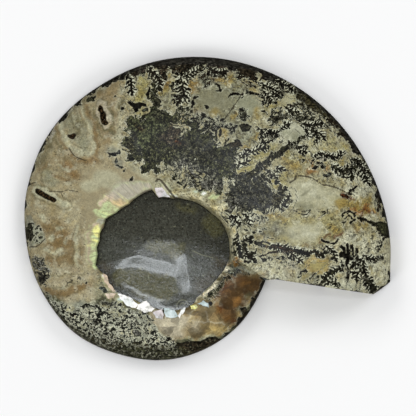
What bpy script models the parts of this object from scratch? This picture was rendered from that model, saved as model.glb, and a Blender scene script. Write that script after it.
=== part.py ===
"""Half of an ammonite fossil, cut flat through its middle plane and lying on the cut, coiled side up.

It is one solid of stone: the last turn of the shell, the mudstone that fills its umbilicus, and the flat cut face.
The outline is a logarithmic spiral round the coiling axis. The surface is a set of closed rings, which start round
the middle of the umbilicus, widen over the flank to the keel, drop to the cut face and close up under it. Each ring
has one point on each of the same lines across the shell. The lines go once round, from the broken mouth back to
where the turn before it comes out from under the mouth, and then climb the mouth break to where they started.
"""

import math

import bmesh
import bpy

MM = 0.001

# Driving dimensions, in millimetres and degrees. Places are measured from the coiling axis, and plan angles
# anticlockwise from +X.
SPIRAL_RADIUS = 68.3  # of the keel, at SPIRAL_START
SPIRAL_START = -17.0
SPIRAL_RATE = 0.1266  # the shell shrinks e-fold in 1 / SPIRAL_RATE radians back along the spiral
HALF_THICKNESS = 18.0  # of the turn at its mouth, above the cut face
KEEL_HEIGHT = 1.5  # of the blunt keel above the cut face, at the mouth
SWELLS = (  # where the keel stands out from the spiral or is worn back from it: plan angle, amount, spread
    (-8.0, -0.4, 5.0),
    (45.0, 0.3, 45.0),
    (114.0, -0.45, 14.0),
    (156.0, -0.3, 8.0),
    (178.0, -0.5, 14.0),
    (225.0, 0.7, 15.0),
    (268.0, 0.35, 18.0),
    (324.0, -0.4, 12.0),
)

# The mouth break in plan, from the umbilicus out to the keel. Each point is further out than the last.
MOUTH_BREAK = (
    (16.2, -8.0),
    (21.1, -7.1),
    (25.7, -10.4),
    (28.3, -12.6),
    (31.4, -12.3),
    (60.9, -16.95),
)
MOUTH_LEAN = -20.0  # plan angle of the break, taken as a whole
MOUTH_CORNER = 4.2  # degrees of keel lost where the mouth's corner is broken off
BREAK_FADE = 0.1  # share of the turn in which its lines go from the break's course to radial

# The flank in section: height as a share of the thickness, and place as a share of the way from shoulder to keel.
SHOULDER_HEIGHT = 0.93
CREST_PLACE = 0.16
FLANK_POWER = 2.6

# The umbilicus: an oval filled with mudstone to a little below the shoulder that surrounds it.
UMBILICUS_MIDDLE = (-2.4, -3.4)
UMBILICUS_HALF_LENGTH = 19.4
UMBILICUS_HALF_WIDTH = 17.2
WALL_RUN = 1.2  # from the filling's edge out to the shoulder
FILLING_HEIGHT = 7.9  # of the filling's edge above the cut face
FILLING_TILT = 1.1  # how much more or less than that the edge's highest and lowest points are
FILLING_HIGH_SIDE = 120.0
FILLING_DISH = 1.6  # how far the filling's middle is below its edge

# Crystal pockets in the flank: distance out, plan angle, length, width, depth, and plan angle of the length.
POCKETS = (
    (41.9, 118.9, 5.8, 2.0, 2.4, 105.5),
    (43.1, 134.6, 1.8, 1.5, 1.2, 140.0),
    (39.6, 161.5, 6.8, 1.5, 2.2, 146.7),
)

TURN_LINES = 92
BREAK_LINES = 12
FLANK_RINGS = 17
FILLING_RINGS = 5
CUT_FACE_RINGS = 3

STONE_COLOUR = (0.43, 0.40, 0.31, 1.0)
STONE_ROUGHNESS = 0.28


def smooth(share):
    """0 to 1, starting and ending level."""
    share = min(1.0, max(0.0, share))
    return share * share * (3.0 - 2.0 * share)


def growth(angle):
    """Size of the shell at a plan angle, as a share of its size at the mouth."""
    return math.exp(-SPIRAL_RATE * math.radians(angle - SPIRAL_START))


def break_angle(radius):
    """Plan angle of the mouth break at a distance from the coiling axis."""
    x, y = MOUTH_BREAK[0]
    for (x0, y0), (x1, y1) in zip(MOUTH_BREAK, MOUTH_BREAK[1:]):
        share = (radius - math.hypot(x0, y0)) / (math.hypot(x1, y1) - math.hypot(x0, y0))
        if share > 0.0:
            share = min(share, 1.0)
            x, y = x0 + share * (x1 - x0), y0 + share * (y1 - y0)
    return math.degrees(math.atan2(y, x))


def whole_keel_radius(angle):
    swell = sum(amount * math.exp(-(((angle - at) / spread) ** 2)) for at, amount, spread in SWELLS)
    return SPIRAL_RADIUS * growth(angle) + swell


def keel_radius(angle):
    """The swollen and worn spiral, less the broken corner at the mouth."""
    tip = math.hypot(*MOUTH_BREAK[-1])
    tip_angle = break_angle(tip)
    lost = max(0.0, 1.0 - (angle - tip_angle) / MOUTH_CORNER)
    return whole_keel_radius(angle) - lost * (whole_keel_radius(tip_angle) - tip)


def filling_radius(angle):
    """Distance from the coiling axis to the edge of the umbilicus's filling, which is an ellipse."""
    x, y = math.cos(math.radians(angle)), math.sin(math.radians(angle))
    middle_x, middle_y = UMBILICUS_MIDDLE
    a, b = UMBILICUS_HALF_LENGTH, UMBILICUS_HALF_WIDTH
    square = (x / a) ** 2 + (y / b) ** 2
    cross = x * middle_x / a**2 + y * middle_y / b**2
    inside = 1.0 - (middle_x / a) ** 2 - (middle_y / b) ** 2
    return (cross + math.sqrt(cross**2 + square * inside)) / square


def filling_height(angle):
    return FILLING_HEIGHT + FILLING_TILT * math.cos(math.radians(angle - FILLING_HIGH_SIDE))


def flank_height(place, size):
    """Height above the cut face, at a place between shoulder and keel of a turn of this size."""
    if place < CREST_PLACE:
        share = SHOULDER_HEIGHT + (1.0 - SHOULDER_HEIGHT) * smooth(place / CREST_PLACE)
    else:
        past_crest = (place - CREST_PLACE) / (1.0 - CREST_PLACE)
        share = math.sqrt(1.0 - min(1.0, past_crest) ** FLANK_POWER)
    return size * (KEEL_HEIGHT + (HALF_THICKNESS - KEEL_HEIGHT) * share)


def where_met(radius_at, angle_at, angle):
    """Radius and plan angle at which a line across the shell meets an edge that runs round it."""
    for _ in range(8):
        angle = angle_at(radius_at(angle))
    return radius_at(angle), angle


def turn_line(along):
    """(radius, angle, height) from the filling's edge over the flank to the cut face, at a share of the turn."""
    middle = MOUTH_LEAN + 360.0 * along
    fade = 1.0 - smooth(min(along, 1.0 - along) / BREAK_FADE)

    def angle_at(radius):
        return middle + fade * (break_angle(radius) - MOUTH_LEAN)

    inner, inner_angle = where_met(filling_radius, angle_at, middle)
    keel, keel_angle = where_met(keel_radius, angle_at, middle)
    size = growth(keel_angle)
    line = [(inner, inner_angle, filling_height(inner_angle))]
    for k in range(FLANK_RINGS + 1):
        place = 1.0 - (1.0 - k / FLANK_RINGS) ** 1.5
        radius = inner + WALL_RUN + place * (keel - inner - WALL_RUN)
        line.append((radius, angle_at(radius), flank_height(place, size)))
    line.append((keel, angle_at(keel), 0.0))
    return line


def break_line(rise):
    """The line that is a share of the way up the mouth break, from the earlier turn's flank to the last one's."""
    line = []
    for (lower, _, low), (upper, _, high) in zip(turn_line(1.0), turn_line(0.0)):
        radius = lower + rise * (upper - lower)
        line.append((radius, break_angle(radius), low + rise * (high - low)))
    return line


def in_plan(radius, angle, height):
    return radius * math.cos(math.radians(angle)), radius * math.sin(math.radians(angle)), height


def lines_across():
    lines = [turn_line(k / TURN_LINES) for k in range(TURN_LINES + 1)]
    lines += [break_line(k / BREAK_LINES) for k in range(1, BREAK_LINES)]
    return [[in_plan(*point) for point in line] for line in lines]


def filling_ring(edge, share):
    """A ring of the filling, at a share of the way from its middle to its edge."""
    x0, y0 = UMBILICUS_MIDDLE
    z0 = FILLING_HEIGHT - FILLING_DISH
    return [(x0 + share * (x - x0), y0 + share * (y - y0), z0 + share**2 * (z - z0)) for x, y, z in edge]


def cut_face_ring(outline, share):
    return [(share * x, share * y, 0.0) for x, y, _ in outline]


def shell_rings():
    """Closed rings, from the middle of the filling over the flank and in under the cut face."""
    across = [list(ring) for ring in zip(*lines_across())]
    filling = [filling_ring(across[0], k / FILLING_RINGS) for k in range(1, FILLING_RINGS)]
    cut_face = [cut_face_ring(across[-1], 1.0 - k / CUT_FACE_RINGS) for k in range(1, CUT_FACE_RINGS)]
    return filling + across + cut_face


def outline_middle():
    """Middle of the box round the outline, which becomes the part's origin."""
    outline = [line[-1] for line in lines_across()]
    xs, ys = [x for x, _, _ in outline], [y for _, y, _ in outline]
    return (max(xs) + min(xs)) / 2, (max(ys) + min(ys)) / 2


def close_with_fan(bm, ring, middle):
    """Triangles from a ring to one point in its middle."""
    tip = bm.verts.new(middle)
    for k in range(len(ring)):
        bm.faces.new((ring[k - 1], ring[k], tip))


def shell_mesh(middle_x, middle_y):
    bm = bmesh.new()
    rings = [[bm.verts.new(point) for point in ring] for ring in shell_rings()]
    for inner, outer in zip(rings, rings[1:]):
        for k in range(len(inner)):
            bm.faces.new((inner[k - 1], outer[k - 1], outer[k], inner[k]))
    close_with_fan(bm, rings[0], (*UMBILICUS_MIDDLE, FILLING_HEIGHT - FILLING_DISH))
    close_with_fan(bm, rings[-1], (0.0, 0.0, 0.0))
    bmesh.ops.remove_doubles(bm, verts=bm.verts, dist=0.01)
    bmesh.ops.recalc_face_normals(bm, faces=bm.faces)
    bmesh.ops.translate(bm, vec=(-middle_x, -middle_y, 0.0), verts=bm.verts)
    bmesh.ops.scale(bm, vec=(MM, MM, MM), verts=bm.verts)
    mesh = bpy.data.meshes.new("ammonite_half")
    bm.to_mesh(mesh)
    bm.free()
    return mesh


def pocket_cutter(pocket, middle_x, middle_y):
    """A stretched ball whose middle is on the flank, so that its lower half is the pocket."""
    radius, angle, length, width, depth, turn = pocket
    shoulder = filling_radius(angle) + WALL_RUN
    place = (radius - shoulder) / (keel_radius(angle) - shoulder)
    x, y, z = in_plan(radius, angle, flank_height(place, growth(angle)))
    centre = ((x - middle_x) * MM, (y - middle_y) * MM, z * MM)
    bpy.ops.mesh.primitive_uv_sphere_add(segments=12, ring_count=8, radius=0.5, location=centre)
    cutter = bpy.context.object
    cutter.scale = (length * MM, width * MM, 2.0 * depth * MM)
    cutter.rotation_euler = (0.0, 0.0, math.radians(turn))
    cutter.hide_render = True
    cutter.display_type = "WIRE"
    return cutter


def stone():
    material = bpy.data.materials.new("fossil_stone")
    material.use_nodes = True
    surface = material.node_tree.nodes["Principled BSDF"]
    surface.inputs["Base Color"].default_value = STONE_COLOUR
    surface.inputs["Roughness"].default_value = STONE_ROUGHNESS
    surface.inputs["Metallic"].default_value = 0.0
    return material


def main():
    for thing in list(bpy.data.objects):
        bpy.data.objects.remove(thing)
    middle_x, middle_y = outline_middle()
    shell = bpy.data.objects.new("ammonite_half", shell_mesh(middle_x, middle_y))
    bpy.context.scene.collection.objects.link(shell)
    shell.data.shade_smooth()
    shell.data.set_sharp_from_angle(angle=math.radians(40.0))
    shell.data.materials.append(stone())
    for number, pocket in enumerate(POCKETS, start=1):
        cut = shell.modifiers.new(f"crystal_pocket_{number}", "BOOLEAN")
        cut.operation = "DIFFERENCE"
        cut.object = pocket_cutter(pocket, middle_x, middle_y)
        cut.object.name = f"crystal_pocket_cutter_{number}"


main()
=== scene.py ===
"""Looks of the ammonite fossil half: polished flank, mudstone filling, cut face, pocket crystals and flakes.

It is laid out as an add-on and run as a script. Lengths in the tables are millimetres in the frame of the
model that it loads: x to the right and y away, seen from above, with the coiling axis left of and below the
middle. Angles are degrees, anticlockwise from +X.
"""

import functools
import math

import bmesh
import bpy
import numpy as np
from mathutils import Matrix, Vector


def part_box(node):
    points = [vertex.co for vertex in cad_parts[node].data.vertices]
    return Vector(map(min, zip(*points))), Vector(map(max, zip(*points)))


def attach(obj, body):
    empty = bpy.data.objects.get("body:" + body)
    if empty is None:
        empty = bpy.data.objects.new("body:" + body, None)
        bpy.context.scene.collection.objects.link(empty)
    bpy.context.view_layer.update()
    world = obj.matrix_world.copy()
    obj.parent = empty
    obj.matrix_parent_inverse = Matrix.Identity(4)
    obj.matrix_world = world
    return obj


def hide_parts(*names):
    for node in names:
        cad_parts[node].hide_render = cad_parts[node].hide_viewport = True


bl_info = {
    "name": "Ammonite fossil half",
    "version": (1, 0, 0),
    "blender": (4, 5, 0),
    "location": "View3D > Sidebar > Fossil",
    "description": "Builds the polished half of an ammonite around its packed model",
    "category": "Add Mesh",
}

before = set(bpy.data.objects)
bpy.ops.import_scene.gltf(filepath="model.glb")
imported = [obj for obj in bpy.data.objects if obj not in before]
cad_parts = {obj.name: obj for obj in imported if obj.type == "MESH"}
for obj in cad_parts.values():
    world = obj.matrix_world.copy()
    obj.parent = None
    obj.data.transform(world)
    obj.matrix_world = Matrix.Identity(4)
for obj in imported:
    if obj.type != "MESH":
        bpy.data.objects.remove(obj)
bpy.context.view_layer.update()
STONE_NODE = "ammonite_half"
BODY = "root"
LOW, HIGH = (np.array(corner, dtype=float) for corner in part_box(STONE_NODE))
MM = 0.001
WELD = 1e-7  # metres

# ----------------------------------------------------------------------------------- the shell's shape

SPIRAL_RADIUS = 68.3
SPIRAL_START = -17.0
SPIRAL_RATE = 0.1266
HALF_THICKNESS = 18.0
KEEL_HEIGHT = 1.5
SWELLS = (
    (-8, -0.4, 5), (45, 0.3, 45), (114, -0.45, 14), (156, -0.3, 8), (178, -0.5, 14), (225, 0.7, 15),
    (268, 0.35, 18), (324, -0.4, 12),
)
MOUTH_BREAK = ((16.2, -8.0), (21.1, -7.1), (25.7, -10.4), (28.3, -12.6), (31.4, -12.3), (60.9, -16.95))
MOUTH_LEAN = -20.0
MOUTH_CORNER = 4.2
BREAK_FADE = 0.1
SHOULDER_HEIGHT = 0.93
CREST_PLACE = 0.16
FLANK_POWER = 2.6
FILLING_MIDDLE = (-2.4, -3.4)
FILLING_HEIGHT = 7.9
FILLING_TILT = 1.1
FILLING_HIGH_SIDE = 120.0
FOOT_DROP = 0.8  # the flank's foot is this far below the filling's edge
FILLING_TUCK = 0.7  # and the filling runs this far in under the flank
CUT_BEVEL = 0.3

# The edge of the umbilicus, which is scalloped where the shell has chipped.
UMBILICUS = (
    (-2.3, 1.2), (-6.2, 2.6), (-10.4, 2.9), (-15, 3.4), (-16.6, 5.6), (-19.9, 4.2), (-23.6, 1.2),
    (-27.5, -1.4), (-30.5, -3.2), (-31.1, -5.6), (-32.3, -7.4), (-32.3, -9.5), (-33.2, -11.6),
    (-32.9, -13.8), (-33.5, -17), (-32, -18.8), (-30.5, -20), (-29.9, -21.8), (-28.4, -23.9),
    (-26.6, -25.4), (-23.6, -26.3), (-20.3, -28.1), (-18.2, -28.4), (-15.5, -29.9), (-9.8, -30.5),
    (-6, -29.6), (-4, -28.2), (-3.2, -26.6), (-0.2, -23.9), (3.2, -20.3), (5.3, -17.3), (6.5, -15.2),
    (6.6, -11.3), (6.2, -8.6), (4.4, -4.4), (1.1, -1.4),
)
# How far the umbilicus's wall leans outwards: plan angle from the coiling axis, and run.
WALL_RUN = (
    (-60, 1.4), (-30, 1.9), (0, 2), (40, 2), (75, 1.7), (95, 1), (110, 0.6), (240, 0.6), (290, 1),
)


def smooth(share):
    """0 to 1, starting and ending level: the cubic 3s^2 - 2s^3 of the clipped share."""
    share = np.clip(share, 0.0, 1.0)
    return share * share * (3.0 - 2.0 * share)


def growth(angle):
    """Size of the shell as a share of its size at the mouth: e to the power of minus rate times angle."""
    return np.exp(-SPIRAL_RATE * np.radians(angle - SPIRAL_START))


def break_angle(radius):
    """Plan angle of the mouth break at a distance out: its corners joined by straight lines over it."""
    corners = np.array(MOUTH_BREAK)
    out = np.hypot(corners[:, 0], corners[:, 1])
    x, y = np.interp(radius, out, corners[:, 0]), np.interp(radius, out, corners[:, 1])
    return np.degrees(np.arctan2(y, x))


def whole_keel_radius(angle):
    """The logarithmic spiral, plus a bell curve of angle for each swelling or worn place."""
    swell = sum(amount * np.exp(-(((angle - at) / spread) ** 2)) for at, amount, spread in SWELLS)
    return SPIRAL_RADIUS * growth(angle) + swell


def keel_radius(angle):
    """The whole keel, less a straight taper of angle where the mouth's corner has broken off."""
    tip = math.hypot(*MOUTH_BREAK[-1])
    tip_angle = break_angle(tip)
    lost = np.maximum(0.0, 1.0 - (angle - tip_angle) / MOUTH_CORNER)
    return whole_keel_radius(angle) - lost * (whole_keel_radius(tip_angle) - tip)


def where_met(radius_at, angle_at, angle):
    """Radius and angle where a line across the shell meets an edge round it, by repeated substitution."""
    for _ in range(8):
        angle = angle_at(radius_at(angle))
    return radius_at(angle), angle


def line_angle(along):
    """The angle of each line across the shell over radius: radial, but near the mouth as the break."""
    middle = MOUTH_LEAN + 360.0 * along
    fade = 1.0 - smooth(np.minimum(along, 1.0 - along) / BREAK_FADE)
    return lambda radius: middle + fade * (break_angle(radius) - MOUTH_LEAN)


def outline_box():
    """Middle and size of the box round the outline, from one fine turn of the keel."""
    along = np.linspace(0.0, 1.0, 721)
    keel, angle = where_met(keel_radius, line_angle(along), MOUTH_LEAN + 360.0 * along)
    x, y = keel * np.cos(np.radians(angle)), keel * np.sin(np.radians(angle))
    low, high = np.array([x.min(), y.min()]), np.array([x.max(), y.max()])
    return (low + high) / 2.0, high - low


AXIS_TO_MIDDLE, DESIGN_SIZE = outline_box()
SCALE = MM * float(np.mean((HIGH - LOW)[:2] / (DESIGN_SIZE * MM)))
CENTRE = (LOW + HIGH)[:2] / 2.0


def polar(x, y):
    """Distance and plan angle from the coiling axis of places in the frame, in millimetres and degrees."""
    x, y = x + AXIS_TO_MIDDLE[0], y + AXIS_TO_MIDDLE[1]
    return np.hypot(x, y), np.degrees(np.arctan2(y, x))


def plan(radius, angle):
    """Places in the model's frame, in millimetres, from distance and plan angle round the coiling axis."""
    angle = np.radians(angle)
    return radius * np.cos(angle) - AXIS_TO_MIDDLE[0], radius * np.sin(angle) - AXIS_TO_MIDDLE[1]


def umbilicus_radius(angle):
    """Distance from the coiling axis to the umbilicus's edge: its corners joined evenly over the angle."""
    corners = np.array(UMBILICUS)
    out, at = polar(corners[:, 0], corners[:, 1])
    return np.interp(angle, *sorted_round(at, out), period=360.0)


def sorted_round(at, value):
    """Angles brought within one turn and put in order, and their values in the same order."""
    order = np.argsort(np.mod(at, 360.0))
    return np.mod(at, 360.0)[order], np.asarray(value, dtype=float)[order]


def wall_run(angle):
    """How far the umbilicus's wall leans outwards, joined evenly over the angle."""
    at, run = np.array(WALL_RUN, dtype=float).T
    return np.interp(angle, *sorted_round(at, run), period=360.0)


def filling_edge_height(angle):
    """Height of the filling at the wall: its mean plus the tilt times the cosine off the high side."""
    return FILLING_HEIGHT + FILLING_TILT * np.cos(np.radians(angle - FILLING_HIGH_SIDE))


def flank_height(place, size):
    """Height of the flank from shoulder (0) to keel (1): a cubic rise to the crest, then a superellipse."""
    rise = SHOULDER_HEIGHT + (1.0 - SHOULDER_HEIGHT) * smooth(place / CREST_PLACE)
    past = np.clip((place - CREST_PLACE) / (1.0 - CREST_PLACE), 0.0, 1.0)
    share = np.where(place < CREST_PLACE, rise, np.sqrt(1.0 - past**FLANK_POWER))
    return size * (KEEL_HEIGHT + (HALF_THICKNESS - KEEL_HEIGHT) * share)


# ---------------------------------------------------------------------- shapes for the stone's pattern

FAR = 4.0  # millimetres past which a shape's reach isn't worked out


def pairs(numbers):
    """Rows of two from a run of numbers: x and y, or an angle and a width."""
    return np.array(numbers, dtype=float).reshape(-1, 2)


def curve_through(numbers, closed, steps=6):
    """Points along a Catmull-Rom curve through places given as x and y in turn, evenly in each span."""
    points = pairs(numbers)
    if closed:
        padded = np.vstack([points[-1], points, points[:2]])
    else:
        padded = np.vstack([2 * points[0] - points[1], points, 2 * points[-1] - points[-2]])
    t = np.linspace(0.0, 1.0, steps, endpoint=False)[:, None]
    spans = []
    for a, b, c, d in zip(padded, padded[1:], padded[2:], padded[3:]):
        bend, twist = 2 * a - 5 * b + 4 * c - d, 3 * b - a - 3 * c + d
        spans.append(0.5 * (2 * b + (c - a) * t + bend * t**2 + twist * t**3))
    if not closed:
        spans.append(points[-1:])
    return np.vstack(spans)


def near(x, y, points, room):
    """Which places lie within the box round some points, grown by room."""
    (left, bottom), (right, top) = points.min(axis=0) - room, points.max(axis=0) + room
    return (x > left) & (x < right) & (y > bottom) & (y < top)


def nearest_on(ax, ay, bx, by, x, y):
    """The nearest places on a straight line from a to b, as shares of the way along, and their distances."""
    dx, dy = bx - ax, by - ay
    share = np.clip(((x - ax) * dx + (y - ay) * dy) / (dx * dx + dy * dy + 1e-12), 0.0, 1.0)
    return share, np.hypot(x - ax - share * dx, y - ay - share * dy)


def oval(x0, y0, length, width, turn=0.0):
    """An ellipse by its middle, half length, half width and turn.

    Its reach is q(1 - q) / g, where q is the place's distance in ellipse units and g is how fast q changes.
    """
    c, s = math.cos(math.radians(turn)), math.sin(math.radians(turn))

    def reach(x, y):
        u, v = ((x - x0) * c + (y - y0) * s) / length, ((y - y0) * c - (x - x0) * s) / width
        q = np.hypot(u, v)
        g = np.hypot(u / length, v / width)
        return np.where(q < 0.05, min(length, width), q * (1.0 - q) / np.maximum(g, 1e-6))

    return reach


def patch(*numbers):
    """A smooth closed outline. Its reach is the distance to the outline, and is positive inside."""
    ring = curve_through(numbers, closed=True)

    def reach(x, y):
        result = np.full(x.shape, -FAR)
        keep = near(x, y, ring, FAR)
        px, py = x[keep], y[keep]
        nearest = np.full(px.shape, 1e9)
        inside = np.zeros(px.shape, dtype=bool)
        for (ax, ay), (bx, by) in zip(ring, np.roll(ring, -1, axis=0)):
            nearest = np.minimum(nearest, nearest_on(ax, ay, bx, by, px, py)[1])
            if ay != by:
                inside ^= ((ay > py) != (by > py)) & (px < ax + (py - ay) * (bx - ax) / (by - ay))
        result[keep] = np.where(inside, nearest, -nearest)
        return result

    return reach


def stroke(width, *numbers, end=None):
    """A smooth line with round ends, whose half width goes evenly to end: the union of its discs."""
    line = curve_through(numbers, closed=False)
    half = np.linspace(width, width if end is None else end, len(line))

    def reach(x, y):
        result = np.full(x.shape, -FAR)
        keep = near(x, y, line, FAR)
        px, py = x[keep], y[keep]
        best = np.full(px.shape, -FAR)
        for (ax, ay), (bx, by), r0, r1 in zip(line, line[1:], half, half[1:]):
            share, away = nearest_on(ax, ay, bx, by, px, py)
            best = np.maximum(best, r0 + share * (r1 - r0) - away)
        result[keep] = best
        return result

    return reach


def frond(leaf, width, *numbers):
    """A stem with leaves on both sides, by the leaves' length and the stem's half width.

    It gives the distance along the stem of the nearest place on it, the distance across with its side as
    the sign, and the leaves' length there, which tapers towards the tip.
    """
    line = curve_through(numbers, closed=False)
    starts = np.concatenate([[0.0], np.cumsum(np.hypot(*np.diff(line, axis=0).T))])

    def place(x, y):
        along, across = np.zeros_like(x), np.full(x.shape, FAR)
        keep = near(x, y, line, 2.0 * leaf + 1.0)
        px, py = x[keep], y[keep]
        nearest, at = np.full(px.shape, FAR), np.zeros_like(px)
        for (ax, ay), (bx, by), start in zip(line, line[1:], starts):
            share, away = nearest_on(ax, ay, bx, by, px, py)
            side = np.where((bx - ax) * (py - ay) > (by - ay) * (px - ax), 1.0, -1.0)
            closer = away < np.abs(nearest)
            nearest = np.where(closer, side * away, nearest)
            at = np.where(closer, start + share * math.hypot(bx - ax, by - ay), at)
        along[keep], across[keep] = at, nearest
        taper = np.clip((starts[-1] - along) / leaf + 0.4, 0.0, 1.0)
        return along, across, leaf * taper, np.full(x.shape, width)

    return place


def rim(*numbers):
    """The band along the keel: its reach is the width at that plan angle less the distance in from it."""
    at, wide = sorted_round(*pairs(numbers).T)

    def reach(x, y):
        radius, angle = polar(x, y)
        turned = np.mod(angle - break_angle(radius), 360.0) + break_angle(radius)
        return np.clip(np.interp(angle, at, wide, period=360.0) - (keel_radius(turned) - radius), -FAR, FAR)

    return reach


def furthest(shapes, x, y):
    """Reach of several shapes together: the greatest of theirs."""
    return np.maximum.reduce([shape(x, y) for shape in shapes])


def dark(colour, *shapes, speckle=0.3, frill=0.5, level=3.0, maze=0.0, ash=0.0):
    """A layer of dark chamber filling.

    Level caps how deep it is, maze breaks it up into leafy cells and ash greys the hearts of the cells.
    """
    return "dark", colour, shapes, speckle, frill, level, maze, ash


def pale(*shapes, speckle=0.0, frill=0.4, level=3.0, maze=0.0, ash=0.0):
    """A layer that opens the dark stone to the light stone under it."""
    return "pale", None, shapes, speckle, frill, level, maze, ash


def ink(*shapes, frill=0.5, level=3.0, maze=0.0):
    """A layer of black without specks."""
    return dark("black", *shapes, speckle=0.0, frill=frill, level=level, maze=maze)


# --------------------------------------------------------------------------------- the stone's pattern

COLOURS = {  # red, green and blue out of 255 on a screen
    "cream": (155, 150, 117), "pale_cream": (170, 168, 139), "white": (196, 196, 170),
    "grey_cream": (140, 141, 116), "olive_cream": (130, 129, 104), "yellow": (152, 145, 96),
    "khaki": (104, 98, 70), "seam_yellow": (196, 190, 154), "pearl_pale": (176, 171, 152),
    "seam_white": (244, 236, 208), "pearl_mauve": (170, 156, 130), "ochre": (146, 130, 76),
    "orange": (140, 100, 48), "crystal_brown": (92, 72, 48), "rust": (84, 44, 18), "tan": (148, 138, 107),
    "tan_light": (160, 152, 121), "brown": (124, 106, 72), "lavender": (158, 152, 140),
    "honey": (123, 108, 74), "honey_light": (164, 156, 132), "honey_gold": (160, 140, 90),
    "honey_dark": (88, 66, 38), "honey_red": (88, 54, 24), "green": (58, 59, 38), "ash": (112, 111, 102),
    "coal": (50, 49, 37), "moss": (70, 74, 50), "olive_dark": (56, 52, 32), "grey": (54, 53, 40),
    "black": (24, 22, 16), "brown_black": (50, 43, 30), "charcoal": (50, 48, 42), "purple": (62, 52, 42),
    "rind": (208, 210, 186), "slate": (104, 110, 100), "filling": (63, 63, 55),
    "filling_brown": (72, 66, 52), "filling_grey": (71, 72, 65), "filling_olive": (84, 82, 58),
    "pearl_green": (192, 206, 152), "pearl_orange": (214, 190, 140), "pearl_grey": (160, 160, 140),
    "pearl_lilac": (208, 200, 200), "pearl_yellow": (238, 236, 150), "pearl_pink": (204, 184, 160),
    "pearl_blue": (190, 206, 206), "pearl_white": (255, 254, 250),
}

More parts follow.
